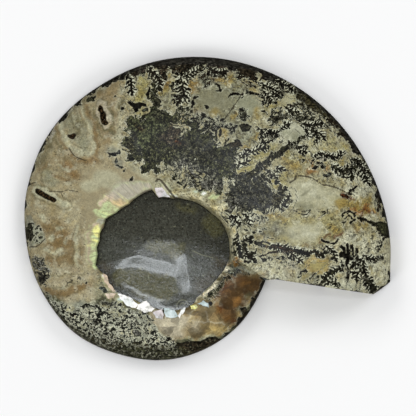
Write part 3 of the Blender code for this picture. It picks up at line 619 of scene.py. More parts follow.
LAYERS = (
    # The keel's own dark shell.
    dark("charcoal", rim(-16, 0.4, -12, 0.8, -4, 1.1, 3, 0.8, 10, 0.9, 17, 1.3, 25, 1.7, 35, 1.9, 44, 2.3,
      55, 2.9, 70, 3.3, 85, 3.4, 95, 3, 100, 2.5, 107, 1.7, 115, 1, 125, 0.7, 135, 0.6, 150, 0.35, 165, 0.12,
      200, 0.12, 230, 0.3, 270, 0.5, 300, 0.9, 340, 0.9), frill=0.4),
    # Two speckled masses.
    dark("green", patch(-23.6, 26.5, -25.1, 21.8, -24.2, 15.2, -20.6, 13.1, -17.9, 10.4, -12.2, 10.8,
      -7.5, 7.2, -3.5, 5.8, 2, 4.4, 5.5, 6.4, 9, 10, 9.6, 14, 10.5, 16.5, 8, 18.6, 2.3, 21.6, -4.1, 26.5,
      -9.8, 28.6, -17.3, 29.6), speckle=0.5, frill=0.85),
    dark("coal", patch(5.6, -1.2, 5.4, 5, 9, 10, 14, 9.7, 17, 10.2, 18.6, 8.6, 18.8, 6, 23.2, 6.2, 24.4, 3.8,
      24, 0.4, 17, -1.4, 11, -1), speckle=0.6, frill=0.7),
    # Between the saddles at the top.
    dark("brown_black", patch(-24.2, 39, -22.5, 42, -18, 43.2, -12, 44, -10.6, 41.5, -12.2, 39.4,
      -13.8, 37.2, -16.4, 37.4, -17.6, 40.2, -20.2, 41, -21.2, 38.6), speckle=0.55, frill=0.6),
    pale(patch(-9.4, 31, -6.6, 31, -6.2, 26, -6.8, 22.8, -8, 24, -9, 27.5), speckle=0.3, frill=0.6,
      level=0.7),
    dark("green", patch(-17.6, 24, -17.2, 30, -16.9, 34, -16.6, 38, -14.2, 38.2, -14.6, 34, -13.9, 30,
      -12, 24), speckle=0.4),
    ink(oval(-22.6, 38, 1.5, 0.8, -35), oval(-22.3, 35.3, 1, 0.5, -30), stroke(0.4, -17.4, 36, -17.4, 33.2),
      frill=0.35),
    ink(stroke(0.8, -22.8, 31.9, -21.2, 30.7, -19.4, 30.5), oval(-21.9, 29.8, 1.3, 0.8, 20), frill=0.35),
    dark("brown_black", patch(-10.6, 42.2, -9, 44.2, -3, 44, -0.6, 42.4, -2.2, 41.3, -4.8, 39.9, -6.6, 38.4,
      -6.9, 35.6, -7.2, 32.2, -8.6, 31, -10.4, 31.6, -11, 33.8, -10.2, 35.6, -10, 37.6), speckle=0.5,
      frill=0.45),
    ink(stroke(0.45, 0.7, 41.2, -0.1, 38.9, -0.5, 37.2, end=0.2), oval(-4.4, 31.4, 1.3, 0.6, 60),
      oval(-3.4, 33.2, 0.8, 0.5), oval(-4.8, 29, 0.6, 0.4), frill=0.3),
    dark("purple", patch(0.4, 43.4, 0.3, 40.8, 1.6, 39.8, 4, 41, 6, 41.2, 6.4, 43.4), frill=0.6),
    dark("brown_black", patch(8.2, 42.6, 8.8, 39.4, 10.4, 38.9, 13.4, 38.2, 15, 37.8, 16.8, 38.6, 20.5, 38.2,
      24, 35.2, 26, 33, 29, 31, 29, 34, 22, 40.5, 12, 43.5), speckle=0.22, frill=0.65),
    pale(stroke(0.55, -13.4, 31, -10.6, 31.6), stroke(0.3, -12.6, 32.9, -9.6, 33.2), stroke(0.3, -12.4, 34.3,
      -9.4, 34.6), stroke(0.35, -11.6, 36, -9, 36.2), oval(-18.7, 29.3, 1.6, 1.3, 10), oval(-23, 29, 1, 0.8),
      stroke(0.3, -19, 40, -15.6, 42), stroke(0.35, 15.1, 38.2, 16.3, 40), frill=0.25),
    dark("slate", oval(-18.7, 29.3, 0.9, 0.6, 10), speckle=0.2, frill=0.2),
    pale(patch(-13.6, 11.6, -10, 12.4, -6.4, 10.4, -5, 8, -8.5, 7.6), frill=0.6, level=0, maze=0.9),
    pale(stroke(0.22, -5.8, 11.2, -3.4, 8.4, -1.6, 6.2), stroke(0.18, -4.2, 12.2, -2, 10), stroke(0.18,
      -3, 6.8, -0.6, 4.8), frill=0.3),
    dark("black", patch(-5.5, 27.2, -3, 28, 1.8, 27.6, 5.8, 25.8, 8.6, 24.6, 7.2, 22.6, 4, 21.3, 0, 21.8,
      -4, 24), level=0.35, maze=0.8, speckle=0.5, frill=0.7),
    pale(patch(3.2, 24, 6.2, 23.6, 6.6, 21, 4.6, 19.6, 2.8, 21), frill=0.35, level=1),
    dark("brown_black", stroke(0.3, 3.2, 20.2, 4.6, 19.4, 6.6, 20.6), stroke(0.4, 3.6, 23.4, 3.8, 21.6),
      stroke(0.9, 4.6, 18, 8.2, 18.8, 9, 20), speckle=0, frill=0.25),
    # Eyes, marks and the fern by them.
    dark("grey", oval(10.6, 28, 1.9, 1.7), level=0.6, maze=0.55, frill=0.7),
    dark("grey", oval(11.4, 24, 1.5, 1.2), frill=0.3),
    dark("slate", oval(11.9, 34.7, 0.8, 0.4, -15), speckle=0, frill=0.3),
    dark("green", patch(-10.5, 27.8, -9.4, 24, -6.2, 21.6, -4.6, 23, -5.6, 26.4, -5.2, 29.4, -7, 30.6),
      level=0.2, maze=0.9, speckle=0.5, frill=0.7),
    dark("brown_black", patch(-2.6, 41, -0.4, 40.6, 0.6, 37.4, -0.6, 36.4, -1.8, 38.6), level=0.3, maze=0.8,
      frill=0.6),
    dark("brown_black", patch(9, 40, 12.4, 39, 14.2, 36.6, 12.4, 36.4, 10.4, 38), level=0.1, maze=0.9,
      frill=0.6),
    ink(stroke(0.45, 12.6, 34.5, 15.2, 34.3), stroke(0.3, 6.2, 33.4, 8, 34.3, 10.4, 34.3), stroke(0.28,
      2.2, 37.4, 3.6, 37, 3.8, 35.8), oval(-0.5, 30.6, 0.9, 0.4), frill=0.25),
    dark("black", patch(15.5, 33.8, 16.6, 36.6, 19, 36.8, 22.3, 35.3, 23, 34, 21, 31.8, 18.5, 30.8,
      16.4, 31.6), level=1.2, maze=0.7, speckle=0.4, frill=0.7),
    dark("brown_black", patch(20.5, 36.6, 22.4, 37.2, 25.6, 35.6, 24.2, 34, 21.5, 34.6), level=0.5, maze=0.6,
      speckle=0.2),
    # The big frilled lobes at the upper right.
    dark("olive_dark", patch(24, 36.6, 26, 33.6, 27.6, 31.6, 30, 29.4, 33.2, 27.6, 36, 26.2, 38.2, 24.6,
      39.6, 25.2, 34.4, 31.6, 28, 37), level=1.7, maze=0.9, speckle=0.5, frill=0.6),
    dark("grey", patch(17.9, 27.9, 19.2, 29.2, 22.4, 30.2, 25, 31.4, 26.6, 33.4, 28.6, 31.6, 31, 29.3,
      34.6, 27.4, 33.4, 24.6, 30.6, 25.4, 28.4, 26.4, 25.4, 27.2, 23.2, 26.3, 21, 24.9, 18.9, 26), level=2.5,
      maze=0.3, speckle=0.5, frill=0.65),
    dark("purple", oval(25.4, 30.6, 1.6, 1.3, 20), frill=0.6),
    pale(stroke(0.28, 22.4, 28.6, 24, 29.4, 24.6, 28, 26, 27.4), stroke(0.25, 26.2, 29.6, 27.4, 30.6,
      28.6, 29.8), stroke(0.25, 20, 27.8, 21.2, 27.2, 22.2, 27.8), stroke(0.25, 30, 27.4, 31.4, 28.4,
      32.6, 27.2), frill=0.3),
    dark("grey", patch(18.7, 26.6, 19.9, 28, 22.4, 27.2, 21.4, 25.3), frill=0.4),
    ink(stroke(0.45, 17.2, 29.3, 18.2, 27.7, 19.2, 26.9), stroke(0.5, 15.6, 23.2, 17.2, 22.6, 18.6, 23.2,
      20.6, 22.4), oval(18.4, 21.5, 0.9, 0.6), oval(22.3, 19.7, 0.6, 0.5), oval(29.4, 25.9, 0.5, 0.5),
      frill=0.6),
    pale(stroke(0.5, 27.6, 30, 28.6, 28.8, 29.4, 28.9), frill=0.3),
    dark("brown_black", patch(34.4, 27, 36.6, 24, 39, 22, 40.2, 23.2, 43, 20.2, 45, 17, 46, 13.4, 48, 10.6,
      50, 8, 51.6, 8, 47, 18, 41, 26, 37, 29), level=1.3, maze=0.8, speckle=0.35, frill=0.7),
    ink(*(oval(x, y, 0.42, 0.34) for x, y in ((30.2, 22.7), (30.1, 21.6), (31.8, 20.2), (33.2, 20),
      (28.3, 17.2), (29.1, 17.8), (30.2, 18.3), (28.4, 14.5), (26, 18.7), (26.6, 18), (30.6, 24.6))),
      frill=0.3),
    dark("green", stroke(1.4, 12.6, 9.6, 15, 11.6, 18.5, 14.6, 21.6, 16.8, 25, 18.8, 27.6, 20.6, 30, 22.2,
      end=0.5), level=0.25, maze=0.25, speckle=0.45, frill=0.4),
    ink(stroke(0.5, 32.6, 15.4, 34, 15.8, 35.8, 15.2, 37.6, 16.2, 40.8, 16.2, end=0.7), stroke(0.35,
      31.2, 15.8, 32, 14.6, 31.3, 13.8), stroke(0.3, 33.9, 12.2, 34.4, 13.4, 33.4, 14),
      oval(32.9, 12.2, 0.7, 0.35, 40)),
    dark("slate", oval(36, 10.2, 1.5, 0.5, 5), speckle=0, frill=0.3),
    ink(stroke(0.18, 34.6, 10.4, 36, 9.8, 37.4, 10.3), frill=0.2),
    ink(stroke(0.35, 46.2, 9.6, 48, 8.2, 49.3, 7), stroke(0.5, 44.4, 6.1, 43, 5.6, 42.2, 4.6, end=0.25),
      frill=0.4),
    pale(stroke(0.35, 42.2, 16.8, 43.6, 17.2, 45.2, 15.4)),
    dark("brown_black", patch(50.2, 2.6, 50.6, 0.2, 52.6, -0.6, 53.4, 1.6, 51.8, 3.4), level=0.1, maze=0.6),
    ink(stroke(0.3, 45, -2.6, 46.3, -2.8, 48, -3.5), frill=0.25),
    dark("green", patch(47.6, -3.2, 49.4, -4, 51.6, -3.8, 53.8, -4.6, 54.4, -7, 53, -8.4, 51.4, -6.6,
      49.2, -5), speckle=0.45, frill=0.35),
    ink(*(stroke(0.22, 52 + 0.2 * k, -7.4 - 0.8 * k, 54.6, -6.4 - 0.9 * k) for k in range(5)), frill=0.25),
    dark("brown_black", patch(38.4, 22.4, 39.4, 24.6, 42.6, 22, 44.8, 19, 43.4, 18.4, 41.6, 20.8),
      speckle=0.4),
    pale(*(stroke(0.22, 38.9 - 0.7 * k, 22.6 + 0.6 * k, 36.6 - 0.5 * k, 24.2 + 0.9 * k) for k in range(4)),
      frill=0.2),
    # The rosette and the stars.
    ink(stroke(0.3, 40.3, -2.2, 41.2, -1, 43, -1.1, 44, -2.4), stroke(0.28, 41, -3, 42.2, -2.2, 43.4, -3.4),
      stroke(0.25, 40.4, -4.2, 41.4, -4), stroke(0.25, 43.2, -4.4, 43.9, -3.4), stroke(0.25, 42.2, -0.9,
      42.2, -2.2), frill=0.35),
    ink(*(stroke(0.3, 52, -11.3, 52 + 1.4 * math.cos(math.radians(t)), -11.3 + 1.6 *
      math.sin(math.radians(t)), end=0.15) for t in (20, 75, 130, 190, 250, 310)), frill=0.25),
    # The dark disc, and the long streak from it.
    dark("grey", stroke(0.55, 8.2, -9.6, 8, -12, 9.6, -14.6, 12.6, -15.2), speckle=0.4),
    dark("grey", patch(13.4, -9.6, 15.6, -9.4, 18, -10.2, 19.2, -11.6, 17.2, -12, 15, -10.8), frill=0.3),
    dark("black", stroke(0.5, 18.8, -11.6, 21, -11.9, 24, -11.9, 27, -12.6, 29, -13.2, end=0.9),
      oval(25.6, -13, 2.8, 1.6, -8), speckle=0.05),
    dark("rust", stroke(0.35, 19.5, -12.9, 22.5, -12.7, 24.5, -12.6), stroke(0.2, 15.4, -14, 17.4, -13.6,
      20.2, -12.9), speckle=0, frill=0.2),
    ink(stroke(0.3, 34.6, -10, 36.4, -10.4, 38.4, -10), frill=0.4),
    pale(oval(17.4, -10.75, 1.2, 0.3, -25), frill=0.2),
    ink(*(oval(x, -14.8 - 0.3 * (k % 3), 0.55, 0.35, 35 * k) for k, x in enumerate((17.4, 19, 20.8, 22.6,
      24.6, 26.6, 28.4))), frill=0.7),
    ink(*(oval(x, y, 0.5, 0.22, 10) for x, y in ((11.8, -6.7), (13.6, -6.9), (15.6, -7), (19.4, -8.8),
      (16.6, -6.2))), frill=0.4),
    ink(stroke(0.14, 26.2, -0.7, 27.2, -1.5, 28.6, -1.8, 30, -1.4, 31, -0.4), stroke(0.12, 28, -0.9,
      29.4, -0.8), stroke(0.12, 32.4, -0.2, 33.6, -0.9, 35, -0.8), frill=0.2),
    # The combed fern by the mouth.
    ink(*(stroke(0.42, x, top, x + 0.1, -14.2) for x, top in ((40.9, -11.7), (42, -10.6), (43.3, -10.9),
      (44.5, -12))), stroke(0.8, 39.7, -13.9, 42.4, -14.5, 45.6, -15), stroke(0.62, 42, -14.6, 42.2, -17.6,
      41.8, -20.6), frill=0.2),
    ink(oval(40, -16.4, 1.1, 0.7, -30), stroke(0.4, 45.6, -14.6, 49, -15.4, 52.4, -14.6), frill=0.7),
    dark("grey", stroke(0.5, 49, -15.2, 52, -15, 54.4, -13.8), speckle=0.5, frill=0.4),
    ink(stroke(0.25, 29.4, -22.6, 34, -23.3, 40, -24.6, 46, -25.5, end=0.35)),
    ink(stroke(0.22, 32.6, -22.2, 33.4, -20.4, 34.6, -19.6), stroke(0.22, 30.2, -21.8, 31, -20.2,
      32.2, -19.6), stroke(0.3, 27.4, -20.6, 27.8, -19.2, 28.8, -18.4), frill=0.35),
    # Marks on the shell wall at the left.
    dark("green", oval(-34.7, 33.1, 1.7, 0.75, 35), frill=0.3),
    dark("slate", stroke(0.35, -29.4, 16.6, -26.8, 16.6), oval(-26.4, 12.9, 0.5, 0.35, -50),
      oval(-27.3, 14.4, 0.5, 0.6), speckle=0, frill=0.3),
    ink(stroke(0.22, -29.6, 15.4, -29, 16.2, -27.6, 16.2), oval(-25.2, 11.3, 0.3, 0.3),
      oval(-25.8, 12.6, 0.32, 0.26), oval(-27.8, 33.6, 0.4, 0.25), oval(-25.2, 30.4, 0.5, 0.4),
      oval(-36.1, -21.9, 0.28, 0.28), oval(-22.7, 8.4, 0.45, 0.3), frill=0.35),
    dark("slate", oval(-31.3, -24.4, 1.1, 0.6, -20), speckle=0, frill=0.4),
    dark("grey", patch(-55, -4.6, -53.2, -4.2, -51.8, -6.4, -52.4, -8.8, -55, -9.2), speckle=0.2, frill=0.6),
    dark("grey", oval(-51, -6.6, 1.4, 1, 30), oval(-51.2, -9.2, 1.3, 0.6, -20), level=-0.05, maze=0.7,
      ash=0.5),
    dark("ash", patch(-52.6, -14.6, -49.8, -14.9, -48.4, -17, -48, -19.2, -49.2, -19.2, -51.4, -18.6),
      level=0.6, maze=0.7, speckle=0.6),
    dark("charcoal", patch(-51.6, -18.8, -49.4, -19.2, -47.8, -19.6, -47.9, -22, -49, -23.4, -50.6, -21.8),
      level=0.9, maze=0.8, speckle=0.2),
    # The frilled zone along the bottom, darker towards the keel.
    dark("black", patch(-48.5, -26.2, -44, -28.8, -39.5, -30.4, -35.5, -29, -31.5, -29.6, -27.5, -28.2,
      -24, -30.6, -18.5, -31.6, -16.8, -34, -14.5, -37.5, -10, -40, -3, -44.6, -12, -46.5, -22, -46,
      -34, -42, -42, -36), level=0.15, maze=1.25, speckle=0.4, frill=0.8, ash=0.5),
    dark("olive_dark", patch(-49.5, -26, -45.2, -30.2, -40.5, -35.2, -34, -38.4, -26, -40, -18.5, -40.2,
      -12.5, -41.2, -3, -41.5, -3, -46, -15, -47, -26, -45.5, -36, -42, -44, -35), level=0.3, maze=1,
      speckle=0.5, ash=0.5),
    dark("green", patch(-36, -43, -30, -42, -24, -41.2, -17, -42, -10, -41.8, -4, -42, -3, -46, -15, -47.5,
      -28, -46), level=0.4, maze=1, speckle=0.6, frill=0.4, ash=0.5),
    dark("grey", patch(18, 28.5, 21, 29.8, 25.5, 30.6, 29, 31.6, 32, 30.4, 36.5, 27, 38.5, 24.2, 35, 24.6,
      31, 25.8, 27, 27.2, 22, 25, 18.5, 25.8), level=0.3, maze=0.75, speckle=0.4, frill=0.9),
    pale(oval(18.8, 35.9, 1.7, 1, 20), oval(24.2, 32.4, 3.3, 1.8, 30), frill=0.5),
    pale(patch(52.4, -9.6, 56, -10, 56, -19, 53, -17.5), frill=0.3),
    dark("rust", oval(41.2, 3.7, 1, 0.7, -30), speckle=0.1, frill=0.4),
    dark("brown_black", oval(51.2, 1.2, 0.8, 1.8, -10), speckle=0.2),
    pale(*(stroke(0.24, -35.2, -32.2, -35.2 + 3 * math.cos(math.radians(t)), -32.2 + 2.6 *
      math.sin(math.radians(t)), end=0.12) for t in (35, 62, 90, 118, 150)), frill=0.25),
    pale(oval(-36, -31.3, 3.4, 1.9, -32), oval(-19, -35, 3.6, 2.2, -25), oval(-40.5, -30.8, 1.4, 1, -30),
      oval(-27, -31.6, 2.4, 1, -10), level=0.3, maze=0.9, frill=0.8),
    pale(oval(-20.5, -37.6, 2.6, 1.6, -20), level=0.3, maze=0.6, frill=0.6),
    dark("ash", oval(-21.2, -37.6, 1.6, 1.1, -20), speckle=0.4, frill=0.4),
    dark("grey", oval(-30.2, -28.6, 2, 0.7, 10), speckle=0.5),
    # The dark outer band past the honey chambers.
    dark("brown_black", patch(-9.5, -40, -6.4, -39.6, -4.2, -39.8, -1.8, -39.4, 1.8, -38.8, 4.2, -38.6,
      5.6, -37.4, 8, -36.9, 9.4, -35.6, 10.4, -33.4, 10.8, -31.2, 12.2, -30.2, 13.6, -28.4, 15.6, -26.6,
      17.6, -24.2, 17.2, -27, 11, -36, 3, -42.5, -5, -46), speckle=0.6, frill=0.2),
    dark("olive_dark", patch(-9.5, -40.6, -4.2, -40.4, 1.8, -39.6, 5, -39, 3, -42.5, -5, -46), level=2.9,
      maze=0.5, speckle=0.7, frill=0.4),
    pale(stroke(0.35, -10.4, -39.4, -8, -39.9, -6, -39.1, -4, -39.5, -2, -39, 1.5, -38.4, 3.6, -38.3,
      5.2, -37.1, 7.2, -36.7, 8.7, -35.4), frill=0.15, level=0.5),
    dark("slate", patch(4.6, -18.2, 9, -18.4, 12.4, -19.6, 9, -19.5, 5, -19.2), level=0.3, maze=0.6,
      speckle=0.6, frill=0.3),
    dark("green", patch(3.4, -20.4, 5.4, -20.8, 3.6, -24.6, 1.4, -26.8, 0.2, -27.4, 0.6, -25), level=0.2,
      maze=0.7, speckle=0.5, frill=0.6),
    pale(stroke(0.75, 6.2, -17, 4.1, -20.4, 0.7, -24, -2.4, -26.9), frill=0.1, level=1),
    ink(stroke(0.12, 5.2, -20.8, 2.4, -23.6, -0.6, -26.6), frill=0.2),
    ink(oval(0.6, -28.3, 0.6, 0.5, 40), frill=0.2),
    dark("brown_black", patch(9.6, -30.6, 10.8, -29.6, 12, -30.6, 10.6, -32), oval(6, -21, 0.5, 1.2, -30),
      speckle=0.5, frill=0.4),
    # The seam strip at the mouth.
    dark("slate", patch(16.3, -20.8, 18.8, -20.9, 20.8, -21.2, 19.2, -22.2, 17.2, -22.3), speckle=0.4,
      frill=0.2),
    # The feathery fringe under the second mass.
    dark("grey", patch(4.8, -1.4, 9.8, -1.2, 16, -1.6, 17.4, -3.4, 13, -4.6, 8, -4.8, 5.8, -3.8), level=0,
      maze=0.8, speckle=0.2, frill=0.9),
    dark("brown_black", patch(19.4, 5, 23.8, 5.2, 24.4, 1, 21, 0.2), level=0.6, maze=0.8, speckle=0.2,
      frill=0.7),
)

FRONDS = (  # leaf length, half width of the stem, and the stem's course
    # Lower right, round the comb.
    frond(1.1, 0.4, 45.6, -15.2, 46.4, -16.6, 46.8, -18.6, 47.8, -20.6, 49.4, -22.4, 50.2, -24.6),
    frond(0.8, 0.3, 43, -17.4, 44, -16.5, 45.8, -17.2),
    frond(1.1, 0.32, 45.4, -18.4, 44.8, -20.2, 44.6, -21.8),
    frond(0.6, 0.25, 42.9, -19, 44.2, -19.8),
    frond(1.2, 0.4, 47.6, -21.4, 48.8, -23.6, 49.4, -25.4),
    frond(0.9, 0.38, 39.9, -18.6, 38.6, -18.2, 37, -19.2, 35.6, -20.6, 34.2, -21.8),
    frond(0.9, 0.28, 38.8, -22.8, 36.8, -21.9, 35.2, -22.8),
    frond(0.6, 0.22, 47.4, -14.2, 49.4, -15, 51.2, -15.3),
    frond(0.8, 0.45, 28.4, -12.8, 31, -13.3, 33.6, -13.6, 35.8, -13.2),
    frond(0.9, 0.28, 35.6, -11.8, 37.4, -12.9, 38.2, -15.4),
    frond(0.9, 0.55, 19.4, -11.3, 23, -11.9, 26.4, -12.6, 29.6, -13),
    frond(1, 0.3, 24.4, -13.2, 26.6, -14.4, 28.2, -15.8),
    # The dark disc by the umbilicus.
    frond(0.8, 0.35, 9, -8.2, 9, -10.6, 9.8, -13.2, 11.6, -14.6, 13.4, -13.4, 14, -12.8),
    frond(0.8, 0.3, 10.6, -9.6, 12.2, -8.8, 13.2, -10.2),
    frond(0.8, 0.38, 11.2, -10.8, 11.6, -12.8, 13, -14.4, 14.4, -15.8),
    # Middle.
    frond(0.8, 0.3, 15.8, 23.5, 16.8, 22.4, 17.9, 22.2),
    frond(0.9, 0.3, 18.6, 22.9, 20.2, 22.5, 21.8, 23),
    frond(0.8, 0.25, 22.4, 24, 23.4, 25, 24.8, 25.5),
    frond(1, 0.28, 12.6, 16.8, 14.6, 17.5, 16.6, 18.2, 18.2, 18.4),
    frond(0.9, 0.25, 16, 20.8, 17.6, 19.6, 19.2, 20),
    frond(1.1, 0.3, 9.8, 13.2, 11.2, 14, 12.6, 14.6),
    frond(0.9, 0.25, 10, 16, 11.4, 16.4, 12.4, 17.6),
    frond(0.9, 0.12, 27.4, 18.2, 28.6, 17.2, 30.2, 16.8),
    frond(0.8, 0.25, 20.2, 10.8, 21.6, 11.8, 23.4, 11.6),
    frond(0.8, 0.3, 24, 30, 25.6, 29, 27.6, 28.6),
    frond(0.7, 0.2, 18.2, 11, 19.8, 9.6, 21.4, 7.4),
    frond(0.8, 0.3, 22.4, 0.6, 23.6, 2.2, 24.2, 4.2),
    frond(0.7, 0.3, 7, -2.4, 8.6, -3.4, 9.6, -5),
    frond(0.7, 0.2, 11, -2, 12.4, -3.4, 12.8, -5),
    # Upper right.
    frond(0.6, 0.22, 29.6, 23.6, 30.4, 22, 30.2, 20.8),
    frond(0.9, 0.28, 31.6, 24, 32.4, 22, 32.8, 20),
    frond(0.9, 0.28, 32.4, 23.2, 34, 22.4, 35.2, 20.8),
    frond(1, 0.4, 29, 25.4, 31.6, 25, 34.6, 25.4),
    frond(0.8, 0.28, 36, 16.2, 38.4, 15.6, 40.8, 17),
    frond(0.6, 0.25, 32.4, 15.6, 34, 16.2, 35.8, 15.4),
    frond(1.2, 0.45, 38.2, 12.4, 40.4, 11.3, 42.6, 11.8, 44.8, 12.6),
    frond(0.9, 0.38, 42.8, 11.6, 43.4, 9),
    frond(0.7, 0.28, 40.4, 11.2, 41.2, 9.4),
    frond(1.2, 0.35, 43.8, 14.2, 46, 12.6, 46.8, 10.6, 48.8, 7.2),
    frond(0.9, 0.25, 46.2, 12.6, 47.6, 11.6, 49.2, 10.2),
    frond(0.6, 0.22, 43.6, 15, 45.6, 14.2, 47.6, 12.8),
    # Top.
    frond(1.1, 0.3, -23.4, 39, -23, 36.8, -22.4, 34.4),
    frond(1.1, 0.35, -17.2, 41.6, -14.8, 38.6, -13.9, 35.6),
    frond(2, 0.5, -7.6, 37.6, -7.4, 34.6, -8.4, 31.6),
    frond(1, 0.3, -6.8, 39.4, -4.4, 40.9, -1.4, 42),
    frond(0.9, 0.4, 0.8, 41.8, 3.2, 40.6, 5.8, 41),
    frond(0.9, 0.3, 16.2, 37.4, 19.2, 36.2, 21.8, 34.6),
    frond(0.8, 0.22, 16.8, 34.8, 18.8, 33, 18.6, 31.6),
    frond(0.7, 0.2, 19.6, 35.2, 21.4, 33.2),
    frond(0.9, 0.35, 21.4, 38.2, 24.4, 36.4, 26.8, 35),
)

DEEP_STAINS = (  # as the stains, but over the dark stone
    ("moss", 1, 3, oval(-20.5, 22, 4, 5), oval(-15.8, 27, 3, 6)),
    ("grey", 0.8, 3, oval(-14.5, 31, 2, 5), oval(-2, 17, 6, 3, -20)),
    ("purple", 0.8, 3, oval(-11, 22, 3.4, 2.4), oval(-9, 19.5, 2, 1.6), oval(-17, 40.5, 4.5, 1.6, 10)),
    ("ash", 0.8, 5, patch(-10, 14.5, -5.5, 14, 0, 10.5, 4.5, 6.5, 1, 4.5, -4, 6, -8, 9.5)),
    ("olive_dark", 0.8, 2, oval(-20, 24.6, 1.8, 1.2), oval(-22.6, 19, 1.5, 3), oval(26, 33, 3, 2, -40)),
    ("ash", 0.7, 3, oval(7.5, 1, 2, 2.5)),
    ("olive_dark", 0.8, 3, oval(21.5, 3, 2.5, 2.5)),
    ("honey_dark", 0.8, 1.2, stroke(0.7, 17.4, -11.4, 21, -12.4, 26, -12.9), stroke(0.5, 30.6, -13.2,
      33.4, -13.5)),
    ("rust", 0.8, 0.8, stroke(0.3, 20.6, -12.6, 23.2, -12.9, 25.6, -13.1)),
    ("rust", 0.7, 0.8, oval(-8.8, 19.3, 0.7, 0.5), oval(-20, 25, 0.8, 0.3, 20)),
    ("black", 0.8, 1.5, stroke(0.7, -20.6, 13, -17.6, 11), stroke(0.5, -23.5, 15, -22.5, 13.8)),
)
CRYSTALLINE = (
    patch(*HONEY_ZONE),
)
CRACKS = (
    stroke(0.07, 24.5, 7.7, 26.3, 8.8, 26.5, 9.7, 29.5, 9.6, 31.5, 9, 33.5, 7.7, 34.8, 7, 36, 6.9, 38.5, 6.2,
      39.8, 5.7, 42, 4.5),
    stroke(0, 11.3, 36.4, 10.2, 34.2, 7.8, 30.5, 5.3, 27),
    stroke(0.14, -15.6, 8.2, -14.3, 8.6, -12.6, 6.8, -10.2, 3.7, -9.4, 3.1, -8.2, 2.9),
    stroke(-0.06, -47.6, 5.2, -44, 5, -42, 5.5, -38.6, 5),
    stroke(0, -54.2, 6.6, -52.8, 7.5, -51.6, 7.8),
    stroke(0, -53.4, -11.6, -51, -11.2, -48.6, -9),
    stroke(0, -13.3, -29.5, -13, -33),
    stroke(0, -41.6, 18.2, -39.8, 15.8, -37.2, 14.6, -36, 14.4),
)
PEARL = (  # as the stains, but over mother-of-pearl
    ("pearl_pale", 1, 1.6, patch(-30.5, 3.6, -28.5, 6, -24, 7.8, -19, 7.8, -16.4, 7, -16.8, 6, -20.5, 4.4,
      -24, 2, -26.5, 1.8, -28.6, 3.2), oval(-12.4, 6.2, 1.6, 1, -40)),
    ("pearl_green", 1, 1, patch(-34, -0.4, -31.6, -0.2, -30, 2.2, -28, 1.4, -26.4, -0.2, -28.4, -1.6,
      -30.6, -2.9, -32.6, -2.6), stroke(1.2, -33.2, -8.4, -33.9, -12, -33.7, -16.6)),
    ("pearl_orange", 1, 1.4, patch(-29.6, 2.9, -26.6, 2.7, -24.2, 2, -23.6, 1.4, -26, 0.2, -27.4, 1.2)),
    ("pearl_pink", 1, 1.2, stroke(0.7, -31.8, 1.2, -30.2, 3.6, -28.8, 3), oval(-33.4, -4.8, 1.3, 0.8, -20),
      stroke(0.6, -30.9, -20, -30.2, -22), oval(-29.4, -25.9, 1.4, 0.7, 20)),
    ("pearl_mauve", 1, 0.9, stroke(0.55, -34.8, -5.4, -35.6, -9, -35.6, -13, -34.9, -16.8)),
    ("pearl_yellow", 1, 1, oval(-32.9, -6.6, 1.3, 1.8, 10), oval(-33.8, -9.6, 1, 0.5)),
    ("pearl_grey", 1, 0.8, oval(-32, -3.9, 1.8, 0.8, -5)),
    ("pearl_green", 0.8, 0.8, oval(-33.6, -17.4, 0.8, 0.9), stroke(0.35, 0.6, 3.6, 3, 3.4)),
    ("pearl_white", 0.9, 0.7, stroke(0.45, -30.9, -19.6, -29.9, -21.6, -28.4, -23.8, -26.8, -25.3),
      oval(-1.5, 4.5, 0.9, 0.5, 10), stroke(0.3, -9.2, 3.6, -12.6, 4.4, -15.4, 5.6)),
    ("pearl_blue", 0.9, 0.7, oval(-4, 4.7, 0.8, 0.45), oval(-25.6, -27, 1, 0.7, -20)),
)
FLAKES = (  # colour, share of the thickness, and outline
    ("pearl_white", 1, ((-26.9, -25.5), (-25, -25.8), (-22.6, -27), (-20.8, -28.8), (-21.6, -30.1),
      (-24.2, -28.9), (-26.2, -27.2))),
    ("pearl_white", 1.4, ((-20.9, -28.9), (-19.4, -27.8), (-18.1, -27.7), (-17.1, -29.3), (-15.7, -30),
      (-16.6, -31), (-19, -31), (-21.2, -30.2))),
    ("pearl_lilac", 1, ((-16.4, -31.2), (-14.8, -30.3), (-13.5, -30.1), (-13.2, -31.5), (-13.5, -33.1),
      (-15.4, -32.9))),
    ("pearl_blue", 1.2, ((-13, -29.9), (-11.6, -29.8), (-9.9, -30.5), (-8.8, -32.2), (-10.4, -32.8),
      (-12.7, -32.8))),
    ("pearl_white", 1, ((-8.9, -32.2), (-8.1, -30.8), (-6.9, -29.4), (-6.5, -29.7), (-7.4, -31.6),
      (-8.3, -32.9))),
    ("pearl_yellow", 0.93, ((-5.3, -29.2), (-3.2, -28.9), (-3, -29.4), (-4, -30.5), (-5, -30.1))),
    ("pearl_blue", 0.87, ((-3, -28.4), (-1.2, -27.6), (0, -28.6), (0.6, -29.9), (-1.2, -29.2))),
    ("pearl_pink", 0.87, ((-31.3, -19.3), (-30.3, -19.9), (-29.7, -21.9), (-28.5, -23.6), (-27.4, -24.9),
      (-28.4, -25), (-29.8, -23.4), (-30.9, -21.6))),
    ("pearl_pink", 0.8, ((-30.6, -25.6), (-29, -25.2), (-27.2, -25.4), (-28.2, -26.6), (-29.8, -27))),
    ("pearl_lilac", 0.93, ((-16, 6.3), (-13.8, 6.2), (-12.2, 4.8), (-11.2, 3.5), (-14.4, 3.4),
      (-15.4, 4.4))),
)
